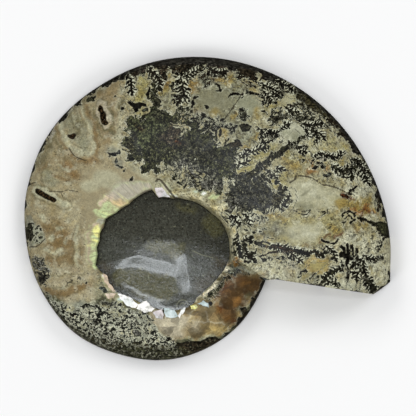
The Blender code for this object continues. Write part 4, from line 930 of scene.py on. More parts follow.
SPOTTED = (
    patch(44, -7, 43, -10, 46, -14, 52, -13, 54.5, -10, 52, -7.5),
    oval(36.5, -4.5, 2.6, 2.4),
    oval(-41, -22, 4, 1.6, 20),
    oval(24, -16.8, 7, 1.6),
    oval(3.5, 39, 3, 1.5),
    oval(28, 17, 3, 3),
    oval(-8, 33, 3, 4),
)
CALM = (  # stretches of light stone with little mottling
    oval(33, -17.2, 3.2, 1.6),
    oval(24.2, 32.5, 2.4, 1.2, 30),
    patch(*BIG_SADDLE),
    patch(22, -5.5, 23, -9.5, 31, -10, 34, -7.5, 33.5, -4.5, 28, -4.5),
    oval(12, 31, 3.5, 3.5),
    oval(2, 32, 5, 3.6),
    oval(26, 23, 3, 2.4),
    oval(41.5, -23, 4, 1.4),
    patch(-36, -4, -38, 4, -36, 12, -28, 12, -22, 11, -16, 8, -16, 3, -24, -4, -31, -9, -33, -18, -35, -12),
    patch(*HONEY_ZONE),
)
SHELL_WALL = (
    patch(-57, -26, -57, 22, -42, 41, -27, 43, -25.5, 36, -26.5, 30, -25.5, 20, -22, 12, -16, 8, -16, 3,
      -24, -4, -31, -9, -33, -18, -33, -25, -38, -29),
)
FACET_SLOPES = {
    "lit": np.array((-0.02, -0.098)),
    "arm": np.array((-0.04, -0.18)),
    "half_lit": np.array((0, -0.045)),
    "turned": np.array((0, 0)),
    "side": np.array((0.065, -0.02)),
}
FACETS = (  # slopes, strength, soft edge and shapes
    ("half_lit", 1, 2, patch(-19.5, -11.2, -17.4, -9.8, -11.6, -9.6, -6.6, -12, -7.5, -15.4, -14, -14.6,
      -20, -13.6)),
    ("side", 0.8, 2.5, patch(-5.5, -14, -1, -14.6, 3.5, -16.2, 0.5, -20.5, -4, -25)),
    ("lit", 1, 1.4, stroke(1.3, -24.6, -16.4, -21, -15.8, -17, -16.6, -13, -17.6, -9, -19, end=1.7)),
    ("turned", 1, 1.6, patch(-27, -19.6, -23, -18.2, -19, -18.6, -15, -19.9, -11.6, -20.8, -9.5, -21.6,
      -9.4, -25.4, -11.5, -26.6, -17, -26.8, -22, -26.2, -27, -23)),
    ("arm", 1, 0.9, patch(-9.2, -15.5, -7, -13.4, -6, -15, -6, -18.5, -5.4, -22, -5.6, -25.6, -8.5, -28.2,
      -13, -28.4, -16.5, -27.8, -13, -27.2, -9.6, -26.6, -9.1, -24.5, -9.2, -20)),
)
FACETS_END = 0.74  # share of the way out at which the facets begin to fade, over the next part
FACETS_FADE = 0.2
RASTER_REACH = 30.0  # millimetres, of the raster on which the facets are joined
RASTER_STEP = 0.3
FILLING_STAINS = (
    ("filling_grey", 1, 4, patch(-32, -8, -24, -10, -17, -9.6, -6, -11.5, 4, -14, 3, -19, -3, -26, -14, -30,
      -27, -26, -33, -17)),
    ("filling_brown", 0.8, 3, oval(2.5, -3.5, 3, 3.5), oval(3.5, -16.5, 2, 2), oval(-1, -22.5, 4, 1.8, 48),
      oval(-31.5, -17.6, 2.6, 1.6), oval(-29.2, -21.5, 1.2, 2.6, 30)),
    ("filling_olive", 1, 1.6, patch(-27.5, -19, -23, -17.9, -18.5, -18.4, -15, -19.6, -11, -20.6,
      -9.3, -21.6, -9.3, -25.6, -11.5, -27.2, -17, -27.4, -22, -26.4, -27.4, -23), patch(-18.2, -10.4,
      -15, -9.8, -10, -10.2, -6.8, -12.2, -8, -14.6, -13, -14, -17.4, -12.8)),
    ("filling_grey", 0.8, 2, oval(-23.5, -24.6, 2.6, 1.2, -30)),
    ("filling_olive", 1, 2.5, oval(1.8, -4.6, 3, 3.8, 20), oval(-6, 0.2, 3.5, 1, -15)),
)
# Pale lines on the filling: the first is a painted highlight along a ridge edge, the others are scratch
# marks.
SCRATCHES_AND_HIGHLIGHT = (
    stroke(0.05, -4.4, -12.7, -1.8, -13.9, 0.6, -14.5, 3, -15.2, end=0),
    stroke(0.05, -9, -30, -9.2, -28.8, -8.2, -27.6, -7, -27.5, -6, -28.2, -5.8, -29.2),
    stroke(0.05, -8.2, -29.8, -8.3, -29, -7.7, -28.4, -7, -28.4, -6.7, -29),
    stroke(0.03, -24.4, -21.5, -23.4, -22.4),
    stroke(0.12, -17.8, -20.2, -17.6, -21),
)
EDGE_SHADOW = (
    (-60, 0.4), (0, 0.3), (60, 0.5), (100, 1), (150, 1.2), (200, 1.3), (240, 0.8), (270, 0.6),
)
POCKETS = (  # depth as a share of the deepest, and outline
    (1, patch(-32.2, 30.8, -31.6, 30.2, -31.3, 29.2, -30.6, 28.2, -30.5, 26.6, -29.9, 25.6, -30.6, 25.1,
      -31.6, 25.8, -32, 27.2, -32.1, 28.6, -32.7, 29.8)),
    (0.64, patch(-41.9, 22, -41.2, 21.2, -40.2, 21, -39.6, 21.9, -40.1, 22.4, -41, 22)),
    (0.91, patch(-51.5, 5.6, -50.6, 5.7, -48.6, 4.4, -47, 3.6, -45.5, 2.7, -45.9, 2, -47.2, 2.5, -49.4, 3.5,
      -51.2, 4.6)),
)

POCKET_RIM = 0.1  # millimetres that the pockets run out past their outlines


def pocket_reach(x, y):
    """How far inside the nearest crystal pocket each place lies."""
    return furthest([reach for _, reach in POCKETS], x, y) + POCKET_RIM


def pocket_depth(x, y, deepest):
    """Depth of the crystal pockets: each falls to its share of the deepest by 0.5 mm inside its edge."""
    return deepest * sum(share * smooth((reach(x, y) + POCKET_RIM) / 0.6 - 0.1) for share, reach in POCKETS)


FOLDS = ((7.0, 0.8, 15.0), (3.3, 0.55, 80.0), (1.7, 0.32, 140.0))  # wavelength, amount and turn


def ragged(x, y, share):
    """Places moved by a share of waves with crests along the way they move, folded in at smaller sizes."""
    x0, y0 = x, y
    for wave, amount, turn in FOLDS:
        c, w = math.cos(math.radians(turn)), math.sin(math.radians(turn))
        k = 2.0 * math.pi / wave
        first = amount * np.sin(k * (y * c - x * w))
        second = amount * np.sin(k * (x * c + y * w) + 0.7)
        x, y = x + c * first - w * second, y + w * first + c * second
    return x0 + share * (x - x0), y0 + share * (y - y0)


def laid_over(total, kind, reach, level):
    """The reach so far with a layer over it, whose own reach is held below the layer's level."""
    held = np.minimum(np.clip(reach, -FAR, FAR), level)
    return np.maximum(total, held) if kind == "dark" else np.minimum(total, -held)


def painted(x, y, colours):
    """The stone's pattern at places in the frame: reach, light and dark colour, and amounts of each effect.

    The layers are laid one over another: a dark one takes the greater of its reach and the reach so far,
    and a pale one the lesser of the reach so far and its own turned round. The layer whose edge is nearer
    sets the amounts.
    """
    total = np.full(x.shape, -FAR)
    deep = np.tile(colours["green"], (len(x), 1))
    amounts = np.tile([0.5, 0.0, 0.3, 0.0], (len(x), 1))  # frill, maze, speckle and ash
    for kind, colour, shapes, speckle, frill, level, maze, ash in LAYERS:
        reach = furthest(shapes, x, y)
        before, total = total, laid_over(total, kind, reach, level)
        taken = total != before
        share = taken * smooth(reach + 1.0)
        if colour:
            deep += (smooth((reach + 1.2) * 1.2) * taken)[:, None] * (colours[colour] - deep)
        amounts += share[:, None] * (np.array([frill, maze, speckle, ash]) - amounts)
    light = np.tile(colours["cream"], (len(x), 1))
    loose = 0.3 + 0.5 * smooth(0.5 - furthest(CALM, x, y) / 3.0)
    loose *= 0.4 + 0.6 * smooth(0.5 - furthest(SHELL_WALL, x, y) / 2.0)
    loose_x, loose_y = ragged(x, y, loose)
    stain(light, STAINS, loose_x, loose_y, colours)
    stain(deep, DEEP_STAINS, loose_x, loose_y, colours)
    return total, light, deep, amounts


def stain(under, stains, x, y, colours):
    """Lay soft-edged stains over some colours, in place: each mixes in by a smooth step of its reach."""
    for colour, strength, edge, *shapes in stains:
        share = strength * smooth(furthest(shapes, x, y) / edge + 0.5)
        under += share[:, None] * (colours[colour] - under)


def pearly(x, y, colours):
    """Where mother-of-pearl shows, as a mask with a slightly wavy edge, and its colour there."""
    loose_x, loose_y = ragged(x, y, 0.35)
    reach = furthest([shape for _, _, _, *shapes in PEARL for shape in shapes], loose_x, loose_y)
    colour = np.tile(colours["pearl_green"], (len(x), 1))
    stain(colour, PEARL, loose_x, loose_y, colours)
    return smooth(reach / 0.7 + 0.6), colour


SLOPE_STEP = 0.15  # millimetres between the places whose reaches give its slope
RAY_RADIUS = 20.0  # millimetres from the axis at which the pearl's rays are as wide as their noise


def pattern(x, y, colours):
    """The pattern at each place, with the reach's slope from small steps, as arrays for mesh attributes."""
    total, light, deep, amounts = painted(x, y, colours)
    across = (painted_reach(x + SLOPE_STEP, y) - total) / SLOPE_STEP
    up = (painted_reach(x, y + SLOPE_STEP) - total) / SLOPE_STEP
    crack = -np.clip(furthest(CRACKS, x, y), -2.0, 0.5)
    mottle = 0.25 + 0.75 * smooth(0.5 - furthest(CALM, x, y) / 3.0)
    mottle *= 0.55 + 0.45 * smooth(0.5 - furthest(SHELL_WALL, x, y) / 2.0)
    pearl, pearl_colour = pearly(x, y, colours)
    radius, angle = polar(x, y)
    round_axis = np.radians(np.mod(angle, 360.0)) * RAY_RADIUS
    rays = np.stack([round_axis, 0.08 * radius, np.zeros_like(radius)], axis=1)
    fronds, stem = nearest_frond(x, y)
    return {"frond": fronds, "stem": stem, "reach": total, "light": light, "deep": deep, "amounts": amounts,
            "slope": np.stack([across, up, np.zeros_like(up)], axis=1), "crack": crack, "mottle": mottle,
            "spots": smooth(furthest(SPOTTED, x, y) / 2.0 + 0.5), "rays": rays, "pearl": pearl,
            "hollow": np.clip(pocket_reach(x, y), -2.0, 1.0), "pearl_colour": pearl_colour,
            "crystal": smooth(furthest(CRYSTALLINE, x, y) + 0.5)}


def filling_pattern(x, y, colours):
    """Mesh attributes: the filling's colour, distances from its scratches, painted highlight line and edge.
    """
    light = np.tile(colours["filling"], (len(x), 1))
    stain(light, FILLING_STAINS, *ragged(x, y, 0.6), colours)
    radius, angle = polar(x, y)
    edge = umbilicus_radius(angle) - radius
    width = np.interp(angle, *sorted_round(*np.array(EDGE_SHADOW).T), period=360.0)
    return {"light": light, "crack": -np.clip(furthest(SCRATCHES_AND_HIGHLIGHT, x, y), -2.0, 0.5), "hollow": edge / width}


def nearest_frond(x, y):
    """Places along and across the frond whose leaves a place is deepest among, their length and the stem."""
    best = np.stack([np.zeros_like(x), np.full(x.shape, FAR), np.zeros_like(x), np.zeros_like(x)])
    for place in FRONDS:
        found = np.stack(place(x, y))
        best = np.where(found[2] - np.abs(found[1]) > best[2] - np.abs(best[1]), found, best)
    return best[:3].T, best[3]


def painted_reach(x, y):
    """The reach alone of the layers laid one over another."""
    total = np.full(x.shape, -FAR)
    for kind, _, shapes, _, _, level, _, _ in LAYERS:
        total = laid_over(total, kind, furthest(shapes, x, y), level)
    return total


# ----------------------------------------------------------------------------------- surfaces as grids

TURN_STATIONS = 941
BREAK_STATIONS = 36
FLANK_RINGS = 88
WALL_RINGS = 6


def stations_along(count):
    """Shares of the turn that lie evenly along the keel: the inverse of the spiral's arc length."""
    shrink = SPIRAL_RATE * 2.0 * math.pi
    return -np.log(1.0 - np.linspace(0.0, 1.0, count) * (1.0 - math.exp(-shrink))) / shrink


def flank_lines(along):
    """Radius, angle and height of the lines across the shell, as arrays of ring by station.

    A line climbs the wall as a quarter ellipse, runs over the flank in its superellipse section, drops down
    the keel and is bevelled at the cut face.
    """
    angle_at = line_angle(along)
    middle = MOUTH_LEAN + 360.0 * along
    inner, inner_angle = where_met(umbilicus_radius, angle_at, middle)
    keel, keel_angle = where_met(keel_radius, angle_at, middle)
    size = growth(keel_angle)
    shoulder = inner + wall_run(inner_angle)
    foot = filling_edge_height(inner_angle) - FOOT_DROP
    turn = np.linspace(0.0, 0.5 * math.pi, WALL_RINGS, endpoint=False)[:, None]
    wall_radius = inner + (shoulder - inner) * (1.0 - np.cos(turn))
    wall_height = foot + (flank_height(0.0, size) - foot) * np.sin(turn)
    place = (1.0 - (1.0 - np.linspace(0.0, 1.0, FLANK_RINGS)) ** 1.3)[:, None]
    flank_radius = shoulder + place * (keel - shoulder)
    edge_height = KEEL_HEIGHT * size
    edge = [(keel, 0.65 * edge_height), (keel, 0.3 + 0.0 * keel), (keel - 0.1, 0.09 + 0.0 * keel),
            (keel - CUT_BEVEL, 0.0 * keel)]
    radius = np.vstack([wall_radius, flank_radius] + [r[None] for r, _ in edge])
    height = np.vstack([wall_height, flank_height(place, size)] + [h[None] for _, h in edge])
    return radius, angle_at(radius), height


def flank_grid():
    """All the lines once round, as x, y and height by ring and station: the turn, then the mouth break.

    A line of the break is the straight mix of the turn's last and first lines, held on the break's own
    course.
    """
    radius, angle, height = flank_lines(stations_along(TURN_STATIONS))
    rise = np.linspace(0.0, 1.0, BREAK_STATIONS + 2)[1:-1]
    climb_radius = radius[:, -1:] + rise * (radius[:, :1] - radius[:, -1:])
    climb_height = height[:, -1:] + rise * (height[:, :1] - height[:, -1:])
    radius = np.hstack([radius, climb_radius])
    angle = np.hstack([angle, break_angle(climb_radius)])
    height = np.hstack([height, climb_height])
    x, y = plan(radius, angle)
    return x, y, height


def pattern_places(x, y, height):
    """Where to read the pattern: on the mouth break, as far back as a place lies below its top edge."""
    drop = np.zeros_like(height)
    drop[:, TURN_STATIONS:] = height[:, :1] - height[:, TURN_STATIONS:]
    return x.ravel(), (y + drop).ravel()


def filling_share(x, y):
    """How far out in the filling places lie: 0 at its middle and 1 at its edge in the same direction."""
    turn = np.linspace(0.0, 360.0, 720, endpoint=False)
    x0, y0 = np.array(FILLING_MIDDLE) - AXIS_TO_MIDDLE
    edge_x, edge_y = plan(umbilicus_radius(turn) + FILLING_TUCK, turn)
    at = np.degrees(np.arctan2(edge_y - y0, edge_x - x0))
    edge = sorted_round(at, np.hypot(edge_x - x0, edge_y - y0))
    return np.hypot(x - x0, y - y0) / np.interp(np.degrees(np.arctan2(y - y0, x - x0)), *edge, period=360.0)


def filling_dish(x, y, depth):
    """Height of the filling without its facets: it grows with the square of the share of the way out."""
    base = FILLING_HEIGHT - depth
    return base + filling_share(x, y) ** 2 * (filling_edge_height(polar(x, y)[1]) - base)


def facets_left(x, y):
    """1 where the facets are whole, falling smoothly to 0 towards the filling's edge."""
    return 1.0 - smooth((filling_share(x, y) - FACETS_END) / FACETS_FADE)


def filling_relief(x, y, depth):
    """Height that the facets add to the filling's dish.

    The slopes wanted less the dish's own are the slopes of the relief. The relief is the height that comes
    nearest to them by least squares, whose Fourier series is -i (k . slopes) / k^2, and it is read between
    the raster's places.
    """
    side = np.arange(-RASTER_REACH, RASTER_REACH, RASTER_STEP)
    across, up = side - AXIS_TO_MIDDLE[0], side - AXIS_TO_MIDDLE[1]
    grid_y, grid_x = np.meshgrid(up, across, indexing="ij")
    place_x, place_y = grid_x.ravel(), grid_y.ravel()
    slope_y, slope_x = np.gradient(filling_dish(place_x, place_y, depth).reshape(grid_x.shape), RASTER_STEP)
    own = np.stack([slope_x.ravel(), slope_y.ravel()], axis=1)
    wanted = own.copy()
    stain(wanted, FACETS, place_x, place_y, FACET_SLOPES)
    inside = facets_left(place_x, place_y)
    change = ((wanted - own) * inside[:, None]).reshape(*grid_x.shape, 2)
    k = 2.0 * math.pi * np.fft.fftfreq(len(side), RASTER_STEP)
    k_y, k_x = np.meshgrid(k, k, indexing="ij")
    size = k_x**2 + k_y**2
    size[0, 0] = 1.0
    series = -1j * (k_x * np.fft.fft2(change[..., 0]) + k_y * np.fft.fft2(change[..., 1])) / size
    relief = np.real(np.fft.ifft2(series))
    relief -= relief[0].mean()
    column, row = (x - across[0]) / RASTER_STEP, (y - up[0]) / RASTER_STEP
    left, below = np.floor(column).astype(int), np.floor(row).astype(int)
    right_share, up_share = column - left, row - below
    low = relief[below, left] * (1.0 - right_share) + relief[below, left + 1] * right_share
    high = relief[below + 1, left] * (1.0 - right_share) + relief[below + 1, left + 1] * right_share
    return (low + (high - low) * up_share) * facets_left(x, y)


def filling_grid(depth, rings=110, stations=380):
    """The filling by ring and station, drawn in to its middle from an edge tucked under the flank."""
    angle = np.linspace(0.0, 360.0, stations, endpoint=False)
    edge_x, edge_y = plan(umbilicus_radius(angle) + FILLING_TUCK, angle)
    x0, y0 = np.array(FILLING_MIDDLE) - AXIS_TO_MIDDLE
    share = (np.linspace(0.0, 1.0, rings) ** 0.8)[:, None]
    x, y = x0 + share * (edge_x - x0), y0 + share * (edge_y - y0)
    places = x.ravel(), y.ravel(), depth
    return x, y, (filling_dish(*places) + filling_relief(*places)).reshape(x.shape)


def flank_surface(x, y):
    """Height of the polished flank at places in the frame, and of its shoulder inside the umbilicus."""
    radius, angle = polar(x, y)
    turned = np.mod(angle - MOUTH_LEAN, 360.0) + MOUTH_LEAN
    shoulder = umbilicus_radius(angle) + wall_run(angle)
    place = (radius - shoulder) / (keel_radius(turned) - shoulder)
    return flank_height(np.clip(place, 0.0, 1.0), growth(turned))


FLAKE_FOLDS = 1.7  # how much finer than the stone's the ragged edge of a flake is
FLAKE_RINGS = (  # share of the way out, and height as a share of the thickness
    (0.0, 1.0), (0.35, 1.04), (0.7, 0.96), (0.9, 0.85), (0.98, 0.62), (1.0, 0.3), (1.0, -2.2), (0.5, -2.2),
    (0.0, -2.2),
)


def flake_grid(thickness, outline):
    """A chip by ring and station: its outline drawn in to its middle, domed and sunk into the flank."""
    corners = np.array(outline)
    t = np.linspace(0.0, 1.0, 6, endpoint=False)[None, :, None]
    edge = (corners[:, None] + t * (np.roll(corners, -1, axis=0) - corners)[:, None]).reshape(-1, 2)
    edge = np.stack(ragged(*(edge * FLAKE_FOLDS).T, 0.25), axis=1) / FLAKE_FOLDS
    middle = edge.mean(axis=0)
    share, lift = np.array(FLAKE_RINGS).T
    places = middle + share[:, None, None] * (edge - middle)
    x, y = places[..., 0], places[..., 1]
    return x, y, flank_surface(x, y) + thickness * lift[:, None]


CRYSTAL_RINGS = ((0.0, 0.0), (0.0, 1.0), (0.65, 0.9), (1.0, 0.0))  # shares of the length and of the width
POCKET_SPAN = ((-53.0, 0.0), (-28.0, 33.0))  # corners of a box round all the pockets


def pocket_crystals(spacing, deepest):
    """Six-sided crystals that line the pockets, by crystal, ring and station, and each one's tone.

    They stand on a square grid of places that are shaken about, lean up the slope of the pocket's reach,
    and run in rings from their foot's middle over its rim and their shoulder to a point.
    """
    chance = np.random.default_rng(4)
    (left, bottom), (right, top) = POCKET_SPAN
    x, y = np.meshgrid(np.arange(left, right, spacing), np.arange(bottom, top, spacing))
    x, y = x.ravel(), y.ravel()
    x, y = x + chance.uniform(-0.2, 0.2, x.shape), y + chance.uniform(-0.2, 0.2, y.shape)
    kept = pocket_reach(x, y) > 0.15
    x, y = x[kept], y[kept]
    across = pocket_reach(x + 0.1, y) - pocket_reach(x - 0.1, y)
    up = pocket_reach(x, y + 0.1) - pocket_reach(x, y - 0.1)
    depth = pocket_depth(x, y, deepest)
    axis = np.stack([4.0 * across, 4.0 * up, np.ones_like(x)], axis=1) + chance.normal(0.0, 0.2, (len(x), 3))
    axis /= np.linalg.norm(axis, axis=1)[:, None]
    foot = np.stack([x, y, flank_surface(x, y) - depth - 0.1], axis=1)
    length = np.minimum(chance.uniform(0.5, 1.1, x.shape), 0.75 * depth)[:, None, None, None]
    width = chance.uniform(0.12, 0.26, x.shape)[:, None, None, None]
    side = np.cross(axis, (0.0, 1.0, 0.0))
    side /= np.linalg.norm(side, axis=1)[:, None]
    other = np.cross(axis, side)
    turn = chance.uniform(0.0, 1.0, x.shape)[:, None] + np.arange(6) * math.pi / 3.0
    round_it = np.cos(turn)[:, :, None] * side[:, None] + np.sin(turn)[:, :, None] * other[:, None]
    along, out = np.array(CRYSTAL_RINGS).T[:, None, :, None, None]
    places = foot[:, None, None] + along * length * axis[:, None, None] + out * width * round_it[:, None]
    return places, chance.uniform(0.0, 1.0, x.shape)


def cut_face_grid(rings=24):
    """The flat cut face by ring and station: the flank's own last ring, drawn in to the coiling axis."""
    x, y, _ = flank_grid()
    share = np.linspace(1.0, 0.0, rings)[:, None]
    axis_x, axis_y = -AXIS_TO_MIDDLE
    x, y = axis_x + share * (x[-1] - axis_x), axis_y + share * (y[-1] - axis_y)
    return x, y, np.zeros_like(x)


def in_frame(x, y, height):
    """Places in the model's frame in metres, one row each, from arrays in millimetres."""
    rise = SCALE * bpy.context.scene.ammonite_sizes.thickness / (HIGH - LOW)[2]
    places = CENTRE[0] + x * SCALE, CENTRE[1] + y * SCALE, LOW[2] + height * rise
    return np.stack(places, axis=-1).reshape(-1, 3)


def grid_faces(rings, stations):
    """Quads between neighbouring rings and stations, closed round the stations."""
    ring, station = np.meshgrid(np.arange(rings - 1), np.arange(stations), indexing="ij")
    after = (station + 1) % stations
    here, above = ring * stations, (ring + 1) * stations
    return np.stack([here + station, above + station, above + after, here + after], axis=-1).reshape(-1, 4)


def new_piece(name, places, faces, attributes=None, sharp=50.0):
    """A smooth-shaded mesh object from arrays, with the points that meet at a pole welded into one."""
    mesh = bpy.data.meshes.new(name)
    mesh.vertices.add(len(places))
    mesh.vertices.foreach_set("co", np.ascontiguousarray(places, dtype=np.float32).ravel())
    mesh.loops.add(faces.size)
    mesh.loops.foreach_set("vertex_index", faces.ravel().astype(np.int32))
    mesh.polygons.add(len(faces))
    mesh.polygons.foreach_set("loop_start", np.arange(0, faces.size, faces.shape[1], dtype=np.int32))
    mesh.update(calc_edges=True)
    for label, values in (attributes or {}).items():
        give(mesh, label, values)
    solid = bmesh.new()
    solid.from_mesh(mesh)
    bmesh.ops.remove_doubles(solid, verts=solid.verts, dist=WELD)
    solid.to_mesh(mesh)
    solid.free()
    if not np.isfinite(places).all() or mesh.validate():
        raise RuntimeError(f"{name} didn't come out as a sound mesh")
    mesh.shade_smooth()
    mesh.set_sharp_from_angle(angle=math.radians(sharp))
    piece = bpy.data.objects.new(name, mesh)
    bpy.context.scene.collection.objects.link(piece)
    return piece


def give(mesh, name, values):
    """Put an array on a mesh's points as a float, vector or colour attribute, by its width."""
    values = np.asarray(values, dtype=np.float32)
    width = 1 if values.ndim == 1 else values.shape[1]
    kind, field = {1: ("FLOAT", "value"), 3: ("FLOAT_VECTOR", "vector"), 4: ("FLOAT_COLOR", "color")}[width]
    made = mesh.attributes.new(name, kind, "POINT")
    made.data.foreach_set(field, values.ravel())


# ------------------------------------------------------------------------------------------- materials


class Value:
    """A node's output, on which + - and * add maths nodes. A vector or colour times a number is scaled."""

    def __init__(self, shader, socket):
        self.shader, self.socket = shader, socket

    def joined(self, operation, a, b):
        """The two values put together as numbers, or as vectors."""
        if self.socket.type == "VALUE":
            return self.shader.math(operation, a, b)
        if operation == "MULTIPLY":
            return self.shader.vector("SCALE", a, scale=b)
        return self.shader.vector(operation, a, b)

    def __add__(self, other):
        return self.joined("ADD", self, other)

    def __sub__(self, other):
        return self.joined("SUBTRACT", self, other)

    def __rsub__(self, other):
        return self.joined("SUBTRACT", other, self)

    def __mul__(self, other):
        return self.joined("MULTIPLY", self, other)


class Shader:
    """Short calls that add nodes to one node tree and return their outputs."""

    def __init__(self, tree):
        self.tree = tree

    def fill(self, inputs, values):
        """Link or set inputs by their names or numbers. None leaves one as it is."""
        for name, value in values.items():
            if isinstance(value, Value):
                self.tree.links.new(value.socket, inputs[name])
            elif value is not None:
                inputs[name].default_value = value

    def node(self, kind, inputs=None, **settings):
        """A new node's outputs, by number and by name."""
        made = self.tree.nodes.new(kind)
        for name, value in settings.items():
            setattr(made, name, value)
        self.fill(made.inputs, inputs or {})
        values = [Value(self, socket) for socket in made.outputs]
        return dict(enumerate(values)) | {value.socket.name: value for value in values}

    def math(self, operation, a, b=None, clamp=False):
        """One or two numbers through a maths node."""
        return self.node("ShaderNodeMath", {0: a, 1: b}, operation=operation, use_clamp=clamp)[0]

    def vector(self, operation, a, b=None, scale=None):
        """One or two vectors through a vector maths node."""
        made = self.node("ShaderNodeVectorMath", {0: a, 1: b, "Scale": scale}, operation=operation)
        return made["Value" if operation in ("DOT_PRODUCT", "LENGTH") else "Vector"]

    def sine(self, place, waves, start=0.0):
        """The sine of a start plus the dot product of a place and the waves' numbers."""
        return self.math("SINE", self.vector("DOT_PRODUCT", place, waves) + start)

    def join(self, x, y):
        """A vector in the plane from its two parts."""
        return self.node("ShaderNodeCombineXYZ", {"X": x, "Y": y})[0]

    def part(self, vector):
        """The three parts of a vector or colour."""
        made = self.node("ShaderNodeSeparateXYZ", {0: vector})
        return made[0], made[1], made[2]

    def mix(self, share, a, b, blend="MIX"):
        """Colour a, with a share of colour b."""
        return self.node("ShaderNodeMix", {0: share, 6: a, 7: b}, data_type="RGBA", blend_type=blend)[2]

    def step(self, value, low, high):
        """A smooth rise from 0 at low to 1 at high."""
        inputs = {"Value": value, "From Min": low, "From Max": high}
        return self.node("ShaderNodeMapRange", inputs, interpolation_type="SMOOTHSTEP")[0]

    def map(self, value, low, high, to_low, to_high):
        """A straight line from to_low at low to to_high at high, and level past them."""
        return self.node("ShaderNodeMapRange", {"Value": value, "From Min": low, "From Max": high,
                                                "To Min": to_low, "To Max": to_high})[0]

    def noise(self, place, scale, detail=3.0, roughness=0.5, distortion=0.0, kind="Fac"):
        """Smooth noise from 0 to 1 round a half, as a number or a colour."""
        return self.node("ShaderNodeTexNoise", {"Vector": place, "Scale": scale, "Detail": detail,
                                                "Roughness": roughness, "Distortion": distortion})[kind]

    def sway(self, amount, place, scale, detail, roughness=0.5):
        """Noise round nought: the noise less a half, times the amount."""
        return (self.noise(place, scale, detail, roughness) - 0.5) * amount

    def cells(self, place, scale, **settings):
        """Voronoi cells, as distance and colour."""
        return self.node("ShaderNodeTexVoronoi", {"Vector": place, "Scale": scale}, **settings)

    def chance(self, key):
        """A random colour for each place in the plane."""
        return self.node("ShaderNodeTexWhiteNoise", {"Vector": key}, noise_dimensions="2D")["Color"]

    def read(self, name, kind="Fac"):
        """A mesh attribute as a number, or as its Vector, Color or Alpha."""
        return self.node("ShaderNodeAttribute", attribute_name=name)[kind]

    def millimetres(self):
        """Object coordinates, in millimetres."""
        return self.node("ShaderNodeTexCoord")["Object"] * (1.0 / MM)

    def bump(self, height, strength):
        """A normal from a height, in tenths of a millimetre."""
        return self.node("ShaderNodeBump", {"Height": height, "Strength": strength, "Distance": 0.1 * MM})[0]

    def group(self, tree, **inputs):
        """The outputs of a node group."""
        return self.node("ShaderNodeGroup", inputs, node_tree=tree)

    def grain(self, scale, strength=1.0):
        """The grain of the stone, as a value round 1 and as a height."""
        return self.group(grain_group(), Scale=scale, Strength=strength)

    def specks(self, scale, amount):
        """A mask of specks."""
        return self.group(specks_group(), Scale=scale, Amount=amount)["Mask"]

    def speckled(self, under, scale, amount, share, over):
        """A colour with a share of another mixed in where there are specks."""
        return self.mix(self.specks(scale, amount) * share, under, over)

    def finish(self, **outputs):
        """Give a node group its outputs, and hand it over."""
        kinds = {"VALUE": "NodeSocketFloat", "VECTOR": "NodeSocketVector", "RGBA": "NodeSocketColor"}
        for name, value in outputs.items():
            self.tree.interface.new_socket(name, in_out="OUTPUT", socket_type=kinds[value.socket.type])
        self.fill(self.tree.nodes.new("NodeGroupOutput").inputs, outputs)
        return self.tree


def new_group(name, **inputs):
    """An empty shader node group, as its Shader and its inputs, from their kinds."""
    tree = bpy.data.node_groups.new(name, "ShaderNodeTree")
    for label, kind in inputs.items():
        tree.interface.new_socket(label, in_out="INPUT", socket_type=f"NodeSocket{kind}")
    shader = Shader(tree)
    return shader, shader.node("NodeGroupInput")


WARPS = (  # wavelength and amount in millimetres, and turn of each fold of the leafy edge
    (5.2, 1.0, 20.0), (2.6, 0.55, 75.0), (1.35, 0.38, 130.0), (0.80, 0.26, 10.0), (0.50, 0.13, 50.0),
)
LEAF_LEAN = 0.5  # how far a leaf leans for each millimetre away from its foot
LEAF_PITCH = 1.05  # millimetres between the leaves of a frond
CHAMBER_BOW = 2.4  # chambers by which a partition bows, times the shares before and after it across the turn
COIL_WANDER = 1.2  # millimetres over which the coil on the cut face wanders


